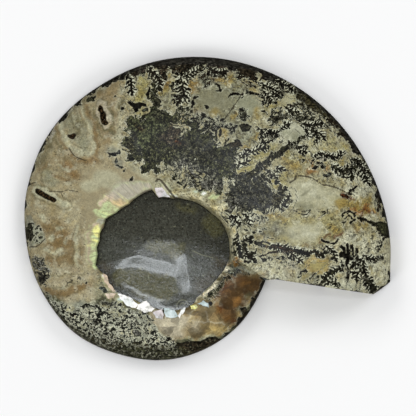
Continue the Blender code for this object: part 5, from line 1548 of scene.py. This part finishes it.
@functools.cache
def leafy_group():
    """The frilled edge of the chamber fillings.

    Each place is moved by a wave whose crests run across the way it moves, again and again at smaller
    sizes, so that the moves fold over one another. The reach there is the reach here plus the move times
    the reach's slope. Leaves are added by a noise read at the foot of the place on the edge, which is the
    place less its reach along the slope, so that they stand across the edge. The maze is a chequer of sine
    waves at the moved place, which the same folds turn into leafy cells, or with more fineness it is round
    blobs.
    """
    s, given = new_group("leafy_edge", Reach="Float", Slope="Vector", Frill="Float", Maze="Float",
                         Fine="Float")
    reach, slope = given["Reach"], given["Slope"]
    start = s.millimetres()
    place = start + (s.noise(start, 0.30, 2.0, kind="Color") - (0.5, 0.5, 0.5)) * 3.0
    for wave, amount, turn in WARPS:
        c, w = math.cos(math.radians(turn)), math.sin(math.radians(turn))
        k = 2.0 * math.pi / wave
        across = s.sine(place, (-w * k, c * k, 0.0))
        along = s.sine(place, (c * k, w * k, 0.0), 1.3)
        first = s.vector("SCALE", (c * amount, w * amount, 0.0), scale=across)
        place = place + (first + s.vector("SCALE", (-w * amount, c * amount, 0.0), scale=along))
    moved = place - start
    change = s.vector("DOT_PRODUCT", moved, slope) * given["Frill"]
    slope_x, slope_y, _ = s.part(slope)
    foot = start - slope * reach + s.join(slope_y * -1.0, slope_x) * (reach * LEAF_LEAN) + moved * 0.15
    leaves = s.sway(7.0, foot, 1.0, 1.0, 0.6) + s.sway(4.0, foot, 2.3, 1.0)
    leaves = s.node("ShaderNodeClamp", {"Value": leaves, "Min": -1.3, "Max": 1.5})[0]
    change = change + leaves * s.step(given["Frill"], 0.25, 0.95)
    chequer = s.sine(place, (2.7, 0.9, 0.0)) * s.sine(place, (-0.9, 2.7, 0.0))
    finer = s.sine(place, (3.9, 5.1, 0.0)) * s.sine(place, (-5.1, 3.9, 0.0))
    cells = chequer * 0.75 + finer * 0.4 + s.sway(4.0, place, 0.75, 2.0, 0.6)
    loose = start + s.noise(start, 1.3, 2.0, kind="Color") * 0.9
    blobs = s.cells(loose, 1.0, voronoi_dimensions="2D")["Distance"] * -3.4 + 1.35
    blobs = blobs + s.sway(2.4, start, 2.4, 1.0)
    cells = cells + given["Fine"] * (blobs - cells)
    return s.finish(Reach=reach + change + cells * given["Maze"], Cells=cells)


@functools.cache
def frond_group():
    """The leaves of a frond, from the place along and across its stem.

    The leaves lean forwards at a steady pitch, set off by half a step from side to side. Each has its own
    random length and width. Out gives the reach into the leaves and stem, and how far in among the leaves
    the place lies.
    """
    s, given = new_group("frond_leaves", Place="Vector", Stem="Float")
    place = s.millimetres()
    along, across, leaf = s.part(given["Place"])
    across = across + s.sway(2.4, place + (7.0, 3.0, 0.0), 0.5, 2.0)
    away = s.math("ABSOLUTE", across)
    side = s.math("GREATER_THAN", across, 0.0)
    course = along + away * -LEAF_LEAN + s.sway(2.0, place, 0.7, 2.0, 0.6)
    turn = course * (1.0 / LEAF_PITCH) + side * 0.5
    long, wide, _ = s.part(s.chance(s.join(s.math("FLOOR", turn), side)))
    from_middle = s.math("ABSOLUTE", s.math("FRACT", turn) - 0.5) * (0.85 * LEAF_PITCH)
    to_tip = leaf * s.map(long, 0.0, 1.0, 0.7, 1.6) - away
    leaves = s.math("MINIMUM", s.map(wide, 0.0, 1.0, 0.22, 0.38) - from_middle, to_tip * 0.6)
    reach = s.math("MAXIMUM", leaves, given["Stem"] - away) + s.sway(0.5, place, 2.4, 1.0)
    return s.finish(Reach=reach, Zone=s.step(to_tip, -0.35, -0.05))


@functools.cache
def grain_group():
    """Fine grain of stone: a value round 1 that varies over the surface, and the same grain as a height."""
    s, given = new_group("stone_grain", Scale="Float", Strength="Float")
    fine = s.noise(s.millimetres(), given["Scale"], 4.0, 0.65)
    return s.finish(Value=(fine - 0.5) * given["Strength"] + 1.0, Height=fine)


@functools.cache
def specks_group():
    """Scattered specks: a noise cut off at a height that falls with the amount, so more gives more specks."""
    s, given = new_group("stone_specks", Scale="Float", Amount="Float")
    spots = s.noise(s.millimetres(), given["Scale"], 2.0, 0.6)
    return s.finish(Mask=s.step(spots - s.map(given["Amount"], 0.0, 1.0, 0.74, 0.44), 0.0, 0.05))


@functools.cache
def pearl_group():
    """Mother-of-pearl: a colour shaded in fine rays, with yellow and pink glints in wider ones."""
    s, given = new_group("pearl_rays", Rays="Vector", Colour="Color", Yellow="Color", Pink="Color",
                         Shade="Color")
    wide = s.noise(given["Rays"], 0.55, 2.0)
    fine = s.noise(given["Rays"], 2.2, 3.0, 0.7)
    colour = s.mix(s.step(wide, 0.52, 0.68) * 0.3, given["Colour"], given["Yellow"])
    colour = s.mix(s.step(wide, 0.48, 0.34) * 0.35, colour, given["Pink"])
    colour = s.mix(s.step(fine, 0.46, 0.34) * 0.35, colour, given["Shade"])
    return s.finish(Colour=colour * s.map(fine, 0.3, 0.7, 0.78, 1.28), Height=fine)


@functools.cache
def chambers_group():
    """The coil as it shows in the middle plane, from a place relative to the coiling axis.

    The number of turns in from the keel is the logarithm of radius over the spiral's rate, less the angle.
    Its whole part is the turn and the rest is how far across it the place lies. The chamber's number is the
    angle turned since the mouth over the angle of one chamber, bowed across the turn.
    """
    s, given = new_group("spiral_chambers", Place="Vector", Chambers="Float")
    x, y, _ = s.part(given["Place"])
    radius = s.vector("LENGTH", given["Place"])
    angle = s.math("ARCTAN2", y, x) - math.radians(SPIRAL_START)
    inward = s.math("LOGARITHM", s.math("DIVIDE", SPIRAL_RADIUS, radius), math.e)
    turns = inward * (1.0 / (2.0 * math.pi * SPIRAL_RATE)) + angle * (-0.5 / math.pi)
    across, whole = s.math("FRACT", turns), s.math("FLOOR", turns)
    bow = across * (1.0 - across) * CHAMBER_BOW
    number = (angle * (0.5 / math.pi) + whole) * given["Chambers"] + bow
    share = s.math("FRACT", number)
    wall = s.math("MINIMUM", across, 1.0 - across) * (radius * (2.0 * math.pi * SPIRAL_RATE))
    arc = s.math("DIVIDE", radius * (2.0 * math.pi), given["Chambers"])
    partition = s.math("MINIMUM", share, 1.0 - share) * arc
    return s.finish(Wall=wall, Partition=partition, Chance=s.chance(s.join(s.math("FLOOR", number), whole)))


def new_material(name):
    """A material, its Shader and the inputs of its surface."""
    material = bpy.data.materials.new(name)
    material.use_nodes = True
    tree = material.node_tree
    return material, Shader(tree), tree.nodes["Principled BSDF"].inputs


def flank_material(colours):
    """Polished stone: light calcite and dark frilled chamber filling, with cracks, specks, pearl and painted
    shade in the pockets.
    """
    material, s, surface = new_material("polished_flank")
    frill, maze, speckle = s.part(s.read("amounts", "Color"))
    ash, mottle = s.read("amounts", "Alpha"), s.read("mottle")
    leafy = s.group(leafy_group(), Reach=s.read("reach"), Slope=s.read("slope", "Vector"), Frill=frill,
                    Maze=maze, Fine=ash)
    frond = s.group(frond_group(), Place=s.read("frond", "Vector"), Stem=s.read("stem"))
    reach = leafy["Reach"] + frond["Zone"] * (frond["Reach"] - leafy["Reach"]) + mottle * 0.03
    fine = s.grain(1.7, 1.7)
    place = s.millimetres()
    dusty = s.noise(place, 1.5, 2.0, 0.6, distortion=1.2) - 0.5
    tone = s.noise(place + (40.0, 15.0, 0.0), 0.42, 3.0, 0.6)

    light = s.read("light", "Color")
    warm = s.mix(1.0, light, (0.84, 0.72, 0.42, 1.0), "MULTIPLY")
    light = s.mix(s.step(tone, 0.50, 0.66) * mottle * 0.6, light, warm)
    light = s.mix(s.step(tone, 0.46, 0.32) * mottle * 0.6, light, colours["white"])
    light = light * ((s.grain(0.55, 1.5)["Value"] * fine["Value"] - 1.0) * (mottle * 0.95 + 0.25) + 1.02)
    bent = place + s.noise(place, 0.4, 2.0, kind="Color") * 0.8
    facet = s.part(s.cells(bent, 0.8)["Color"])[0] * 0.5 + s.part(s.cells(bent, 0.36)["Color"])[0]
    light = light * ((facet - 0.75) * (s.read("crystal") * 0.7) + 1.0)
    light = s.speckled(light, 1.1, mottle * 0.64, 0.7, colours["brown_black"])
    light = s.speckled(light, 2.1, mottle * 0.66, 0.4, colours["khaki"])
    light = light * (dusty * (mottle * 1.2 + 0.7) + 1.0)
    far = ash * -0.65 - 0.18
    rind = s.step(reach, far - 0.24, far) * (1.0 - s.step(reach, -0.08, 0.02))
    strength = s.math("MAXIMUM", frill * frill * 1.6, frond["Zone"] * 0.85)
    light = s.mix(s.math("MULTIPLY", rind, strength, clamp=True), light, colours["rind"])

    core = s.mix(s.step(reach, 0.10, 0.8), colours["black"], s.read("deep", "Color"))
    core = core * s.map(s.grain(1.3)["Height"], 0.40, 0.60, 0.16, 1.7)
    core = s.speckled(core, 0.95, s.map(speckle, 0.0, 0.6, 0.5, 0.8), 0.85, colours["black"])
    core = s.speckled(core, 1.8, speckle, 0.75, core * 2.7)
    core = s.speckled(core, 1.6, speckle * 0.72, 0.8, colours["olive_cream"])
    core = core * s.math("MAXIMUM", dusty * 5.4 + 0.9, 0.1)
    core = s.mix(s.step(leafy["Cells"], 0.55, 0.85) * (ash * 0.5), core, colours["slate"])

    colour = s.mix(s.step(reach, -0.04, 0.06), light, core)
    spots = s.read("spots")
    colour = s.speckled(colour, 0.8, spots * 0.62, spots * 0.8, colours["black"])
    pearl = s.read("pearl") * s.map(s.noise(place, 0.8, 4.0, 0.65), 0.36, 0.52, 0.35, 1.0)
    shine = s.group(pearl_group(), Rays=s.read("rays", "Vector"), Colour=s.read("pearl_colour", "Color"),
                    Yellow=colours["pearl_yellow"], Pink=colours["pearl_pink"], Shade=colours["slate"])
    colour = s.mix(pearl, colour, shine["Colour"])
    crack = 1.0 - s.step(s.read("crack") + s.sway(0.3, place, 1.5, 2.0), 0.10, 0.26)
    colour = s.mix(crack * 0.85, colour, colours["brown_black"])
    # Painted shade in the crystal pockets: brown-black from the lip inwards, then black deeper in.
    inside = s.read("hollow") + s.sway(0.5, place, 1.2, 2.0)
    colour = s.mix(s.step(inside, -0.25, 0.0), colour, colours["brown_black"])
    colour = s.mix(s.step(inside, 0.05, 0.3), colour, colours["black"])

    relief = fine["Height"] * 0.6 + crack * -1.5 + shine["Height"] * (pearl * 1.5)
    s.fill(surface, {"Base Color": colour, "Roughness": s.map(s.noise(place, 0.5), 0.3, 0.7, 0.28, 0.42),
                     "Normal": s.bump(relief, 0.25), "Specular IOR Level": 0.4})
    return material


def filling_material(colours):
    """Wet-gloss mudstone: dark grey, olive where cleaner; specks, scratches, a painted highlight line,
    painted edge shadow.
    """
    material, s, surface = new_material("umbilicus_mudstone")
    grain, cloud = s.grain(1.9, 1.5), s.grain(0.35, 0.7)
    colour = s.read("light", "Color") * (grain["Value"] * cloud["Value"])
    dusty = s.noise(s.millimetres(), 1.7, 2.0, 0.6, distortion=0.8) * 2.6 - 0.3
    colour = colour * s.math("MAXIMUM", dusty, 0.4)
    for scale, amount, share, over in ((2.0, 0.5, 0.42, "slate"), (1.5, 0.4, 0.3, "black"),
                                       (1.2, 0.22, 0.6, "grey_cream")):
        colour = s.speckled(colour, scale, amount, share, colours[over])
    # Pale scratch marks, and one painted highlight line along a ridge edge.
    scratch_and_highlight = 1.0 - s.step(s.read("crack"), 0.0, 0.2)
    colour = s.mix(scratch_and_highlight * 0.6, colour, colours["grey_cream"])
    shadow = 1.0 - s.step(s.read("hollow"), 0.0, 1.0)
    colour = s.mix(shadow * 0.75, colour, colours["black"])
    s.fill(surface, {"Base Color": colour, "Roughness": s.map(grain["Height"], 0.40, 0.60, 0.06, 0.22),
                     "Normal": s.bump(cloud["Height"] * 2.5 + grain["Height"], 0.6),
                     "Specular IOR Level": 0.8, "Coat Weight": 0.6, "Coat Roughness": 0.09})
    return material


def flake_material(colours):
    """Chips of mother-of-pearl: near white with soft tints in rays, and glossy."""
    material, s, surface = new_material("pearl_flakes")
    shine = s.group(pearl_group(), Rays=s.millimetres() * 0.35, Colour=s.read("pearl_colour", "Color"),
                    Yellow=colours["pearl_white"], Pink=colours["pearl_blue"], Shade=colours["grey_cream"])
    bump = s.bump(shine["Height"], 0.4)
    s.fill(surface, {"Base Color": shine["Colour"], "Roughness": 0.22, "Normal": bump})
    return material


def crystal_material(colours):
    """Small dark brown crystals, with glossy sides."""
    material, s, surface = new_material("pocket_crystals")
    grain = s.grain(2.5, 0.8)
    amount = s.map(s.read("tone"), 0.0, 1.0, 0.35, 1.5) * grain["Value"]
    colour = s.vector("SCALE", tuple(colours["crystal_brown"][:3]), scale=amount)
    s.fill(surface, {"Base Color": colour, "Roughness": s.map(grain["Height"], 0.35, 0.65, 0.14, 0.3)})
    return material


def cut_face_material(colours, chambers):
    """The polished middle plane: dark coiling walls and thin partitions, with calcite in the chambers."""
    material, s, surface = new_material("cut_face")
    place = s.millimetres()
    axis_x, axis_y = (CENTRE - SCALE * AXIS_TO_MIDDLE) / MM + 0.5 * COIL_WANDER
    bent = place + s.noise(place, 0.25, kind="Color") * COIL_WANDER
    from_axis = s.vector("MULTIPLY", bent - (axis_x, axis_y, 0.0), (1.0, 1.0, 0.0))
    coil = s.group(chambers_group(), Place=from_axis, Chambers=float(chambers))
    shade, heart, tint = s.part(coil["Chance"])
    grain = s.grain(0.9)
    cloud = s.noise(place, 0.6, 4.0, 0.6)
    deep = cloud * 2.4 + (s.math("MINIMUM", coil["Wall"], coil["Partition"] * 1.4) - 1.2)
    body = s.mix(s.step(shade, 0.2, 0.9), colours["honey_gold"], colours["honey_dark"])
    body = s.mix(s.step(tint, 0.55, 0.8), body, colours["olive_cream"])
    colour = s.mix(s.step(deep, 0.5, 2.0), colours["honey_light"], body)
    colour = s.mix(s.step(deep, 2.2, 2.9) * s.step(heart, 0.55, 0.6), colour, colours["grey"])
    facet = s.part(s.cells(bent, 0.7)["Color"])[0]
    colour = colour * (grain["Value"] * s.map(facet, 0.0, 1.0, 0.75, 1.25))
    thin = 1.0 - s.step(coil["Partition"], 0.12, 0.28)
    line = s.math("MAXIMUM", thin, 1.0 - s.step(coil["Wall"], 0.3, 0.5))
    colour = s.mix(line * 0.9, colour, colours["brown_black"])
    s.fill(surface, {"Base Color": colour, "Roughness": s.map(cloud, 0.3, 0.7, 0.16, 0.34),
                     "Normal": s.bump(grain["Height"] + line * -0.8, 0.3)})
    return material


# ---------------------------------------------------------------------------- what a user would change


def linear(red, green, blue):
    """Scene-linear colour, from red, green and blue out of 255 on a screen."""
    parts = np.array([red, green, blue]) / 255.0
    parts = np.where(parts <= 0.04045, parts / 12.92, ((parts + 0.055) / 1.055) ** 2.4)
    return (*parts.tolist(), 1.0)


class StoneColours(bpy.types.PropertyGroup):
    """The stone's colours."""

    __annotations__ = {
        name: bpy.props.FloatVectorProperty(name=name.replace("_", " ").capitalize(), size=4, subtype="COLOR",
                                            min=0.0, max=1.0, default=linear(*shade))
        for name, shade in COLOURS.items()
    }


def length_property(name, description, default, low, high):
    """A length in metres, with its least and greatest value."""
    return bpy.props.FloatProperty(name=name, description=description, default=default, min=low, max=high,
                                   precision=5, subtype="DISTANCE", unit="LENGTH")


class LightSettings(bpy.types.PropertyGroup):
    """The studio."""

    sky: bpy.props.FloatProperty(name="Sky", description="Strength of the even light all round", default=0.33)
    key_power: bpy.props.FloatProperty(name="Softbox power", description="Power of the overhead softbox",
                                       default=0.78, unit="POWER")
    side_power: bpy.props.FloatProperty(name="Side light power", description="Power of each side light",
                                        default=3.7, unit="POWER")
    camera_height: length_property("Camera height", "Height of the camera above the floor", 2.0, 0.5, 5.0)
    view_width: length_property("View width", "Width that the camera sees", 0.125, 0.02, 2.0)


class FossilSizes(bpy.types.PropertyGroup):
    """Sizes of the fossil's modelled detail."""

    thickness: length_property("Thickness", "Height above the cut face", float((HIGH - LOW)[2]), 0.005, 0.05)
    filling_depth: length_property("Filling depth", "Dip in the umbilicus's filling", 0.0019, 0.0, 0.005)
    pocket_depth: length_property("Pocket depth", "Depth of the deepest pocket", 0.0022, 0.0005, 0.006)
    crystal_spacing: length_property("Crystal spacing", "Between the crystals", 0.0004, 0.0002, 0.002)
    flake_thickness: length_property("Flake thickness", "Height over the flank", 0.0003, 0.0001, 0.001)
    chambers: bpy.props.IntProperty(name="Chambers", description="Chambers in one turn of the coil",
                                    default=26, min=6, max=60)


def chosen_size(name):
    """A size set in the scene, in millimetres."""
    return getattr(bpy.context.scene.ammonite_sizes, name) / MM


def chosen_colours():
    """The colours set in the scene, as arrays of four."""
    stone = bpy.context.scene.ammonite_colours
    return {name: np.array(getattr(stone, name)[:]) for name in COLOURS}


# ------------------------------------------------------------------------------------------- operators


def finish_piece(piece, material):
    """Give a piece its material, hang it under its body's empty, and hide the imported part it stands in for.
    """
    piece.data.materials.append(material)
    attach(piece, BODY)
    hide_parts(STONE_NODE)


class FOSSIL_OT_flank(bpy.types.Operator):
    """Build the polished flank with its pattern, the umbilicus's wall and the mouth break"""

    bl_idname = "fossil.flank"
    bl_label = "Polished flank"

    def execute(self, context):
        colours = chosen_colours()
        x, y, height = flank_grid()
        places = pattern_places(x, y, height)
        height = height - pocket_depth(x.ravel(), y.ravel(), chosen_size("pocket_depth")).reshape(x.shape)
        piece = new_piece("polished_flank", in_frame(x, y, height), grid_faces(*x.shape),
                          pattern(*places, colours))
        finish_piece(piece, flank_material(colours))
        return {"FINISHED"}


class FOSSIL_OT_filling(bpy.types.Operator):
    """Build the mudstone that fills the umbilicus"""

    bl_idname = "fossil.filling"
    bl_label = "Umbilicus filling"

    def execute(self, context):
        colours = chosen_colours()
        x, y, height = filling_grid(chosen_size("filling_depth"))
        piece = new_piece("umbilicus_filling", in_frame(x, y, height), grid_faces(*x.shape),
                          filling_pattern(x.ravel(), y.ravel(), colours))
        finish_piece(piece, filling_material(colours))
        return {"FINISHED"}


class FOSSIL_OT_flakes(bpy.types.Operator):
    """Build the chips of mother-of-pearl along the umbilicus's edge"""

    bl_idname = "fossil.flakes"
    bl_label = "Pearl flakes"

    def execute(self, context):
        colours = chosen_colours()
        places, faces, shades = [], [], []
        for colour, share, outline in FLAKES:
            x, y, height = flake_grid(share * chosen_size("flake_thickness"), outline)
            faces.append(grid_faces(*x.shape) + sum(map(len, places)))
            places.append(in_frame(x, y, height))
            shades.append(np.tile(colours[colour], (x.size, 1)))
        piece = new_piece("pearl_flakes", np.vstack(places), np.vstack(faces),
                          {"pearl_colour": np.vstack(shades)}, sharp=35.0)
        finish_piece(piece, flake_material(colours))
        return {"FINISHED"}


class FOSSIL_OT_crystals(bpy.types.Operator):
    """Build the small crystals that line the open pockets in the shell wall"""

    bl_idname = "fossil.crystals"
    bl_label = "Pocket crystals"

    def execute(self, context):
        places, tone = pocket_crystals(chosen_size("crystal_spacing"), chosen_size("pocket_depth"))
        count, rings, stations, _ = places.shape
        x, y, height = places.reshape(-1, 3).T
        faces = np.arange(count)[:, None, None] * rings * stations + grid_faces(rings, stations)
        piece = new_piece("pocket_crystals", in_frame(x, y, height), faces.reshape(-1, 4),
                          {"tone": np.repeat(tone, rings * stations)}, sharp=15.0)
        finish_piece(piece, crystal_material(chosen_colours()))
        return {"FINISHED"}


class FOSSIL_OT_cut_face(bpy.types.Operator):
    """Build the flat cut face that the half lies on"""

    bl_idname = "fossil.cut_face"
    bl_label = "Cut face"

    def execute(self, context):
        x, y, height = cut_face_grid()
        piece = new_piece("cut_face", in_frame(x, y, height), grid_faces(*x.shape))
        finish_piece(piece, cut_face_material(chosen_colours(), context.scene.ammonite_sizes.chambers))
        return {"FINISHED"}


def area_light(name, place, aim, size, power, glossy):
    """A rectangular light at a place, turned to face another, which may be kept out of reflections."""
    data = bpy.data.lights.new(name, "AREA")
    data.shape = "RECTANGLE"
    data.size, data.size_y = size
    data.energy = power
    light = bpy.data.objects.new(name, data)
    bpy.context.scene.collection.objects.link(light)
    look_at(light, place, aim)
    light.visible_glossy = glossy
    return light


def look_at(thing, place, aim):
    """Put a light or camera at a place, with its -Z axis towards another."""
    thing.location = place
    thing.rotation_euler = (Vector(aim) - Vector(place)).to_track_quat("-Z", "Y").to_euler()


FLOOR_REACH = 3.0  # metres from the middle to each side of the floor
SIDE_REACH = 0.9  # metres from the middle to each side light, and its height
SIDE_HEIGHT = 0.8
CAMERA_ASIDE = 0.15 * MM
FOCUS_HEIGHT = 0.004
SOFTBOXES = (  # name, place, size and share of the softbox power
    ("overhead_softbox", (0.0, 0.16, 1.0), (0.36, 0.08), 1.0),
    ("lower_softbox", (0.062, 0.096, 0.99), (0.10, 0.05), 0.16),
)


class FOSSIL_OT_stage(bpy.types.Operator):
    """Set the pale floor, the soft studio lights and the camera straight above"""

    bl_idname = "fossil.stage"
    bl_label = "Floor, lights and camera"

    def execute(self, context):
        scene = context.scene
        studio = scene.ammonite_studio
        corners = FLOOR_REACH * np.array([(-1, -1, 0), (1, -1, 0), (1, 1, 0), (-1, 1, 0)], dtype=float)
        floor = new_piece("floor", corners, np.array([[0, 1, 2, 3]]))
        material, s, surface = new_material("pale_floor")
        s.fill(surface, {"Base Color": (0.92, 0.92, 0.92, 1.0), "Roughness": 0.9})
        floor.data.materials.append(material)
        floor.visible_glossy = False

        world = bpy.data.worlds.new("soft_sky")
        world.use_nodes = True
        world.node_tree.nodes["Background"].inputs["Color"].default_value = (1.0, 1.0, 1.0, 1.0)
        world.node_tree.nodes["Background"].inputs["Strength"].default_value = studio.sky
        world.cycles_visibility.glossy = False
        scene.world = world
        for number, turn in enumerate((45.0, 135.0, 225.0, 315.0), start=1):
            turn = math.radians(turn)
            spot = (SIDE_REACH * math.cos(turn), SIDE_REACH * math.sin(turn), SIDE_HEIGHT)
            area_light(f"side_light_{number}", spot, (0.0, 0.0, 0.0), (0.6, 0.4), studio.side_power, False)
        for name, spot, size, share in SOFTBOXES:
            light = area_light(name, spot, (0.0, 0.0, 0.0), size, share * studio.key_power, True)
            light.data.color = (0.90, 0.96, 1.0)

        data = bpy.data.cameras.new("camera")
        data.lens = data.sensor_width * studio.camera_height / studio.view_width
        camera = bpy.data.objects.new("camera", data)
        scene.collection.objects.link(camera)
        camera.location = (*(CENTRE + CAMERA_ASIDE), FOCUS_HEIGHT + studio.camera_height)
        scene.camera = camera
        scene.view_settings.view_transform = "Standard"
        return {"FINISHED"}


class FOSSIL_PT_panel(bpy.types.Panel):
    """Buttons for the pieces"""

    bl_label = "Ammonite fossil half"
    bl_idname = "FOSSIL_PT_panel"
    bl_space_type = "VIEW_3D"
    bl_region_type = "UI"
    bl_category = "Fossil"

    def draw(self, context):
        for operator in OPERATORS:
            self.layout.operator(operator.bl_idname)
        scene = context.scene
        for settings in (scene.ammonite_sizes, scene.ammonite_studio, scene.ammonite_colours):
            for name in settings.bl_rna.properties.keys():
                if name not in ("rna_type", "name"):
                    self.layout.prop(settings, name)


OPERATORS = (FOSSIL_OT_flank, FOSSIL_OT_filling, FOSSIL_OT_flakes, FOSSIL_OT_crystals, FOSSIL_OT_cut_face,
             FOSSIL_OT_stage)
CLASSES = (FossilSizes, StoneColours, LightSettings, *OPERATORS, FOSSIL_PT_panel)


def register():
    """Add the settings, operators and panel."""
    for kind in CLASSES:
        bpy.utils.register_class(kind)
    bpy.types.Scene.ammonite_sizes = bpy.props.PointerProperty(type=FossilSizes)
    bpy.types.Scene.ammonite_colours = bpy.props.PointerProperty(type=StoneColours)
    bpy.types.Scene.ammonite_studio = bpy.props.PointerProperty(type=LightSettings)


def unregister():
    """Take the settings, operators and panel away again."""
    del bpy.types.Scene.ammonite_studio
    del bpy.types.Scene.ammonite_colours
    del bpy.types.Scene.ammonite_sizes
    for kind in reversed(CLASSES):
        bpy.utils.unregister_class(kind)


def main():
    """Build the pieces in order."""
    register()
    bpy.ops.fossil.flank()
    bpy.ops.fossil.filling()
    bpy.ops.fossil.flakes()
    bpy.ops.fossil.crystals()
    bpy.ops.fossil.cut_face()
    bpy.ops.fossil.stage()


if __name__ == "__main__":
    main()
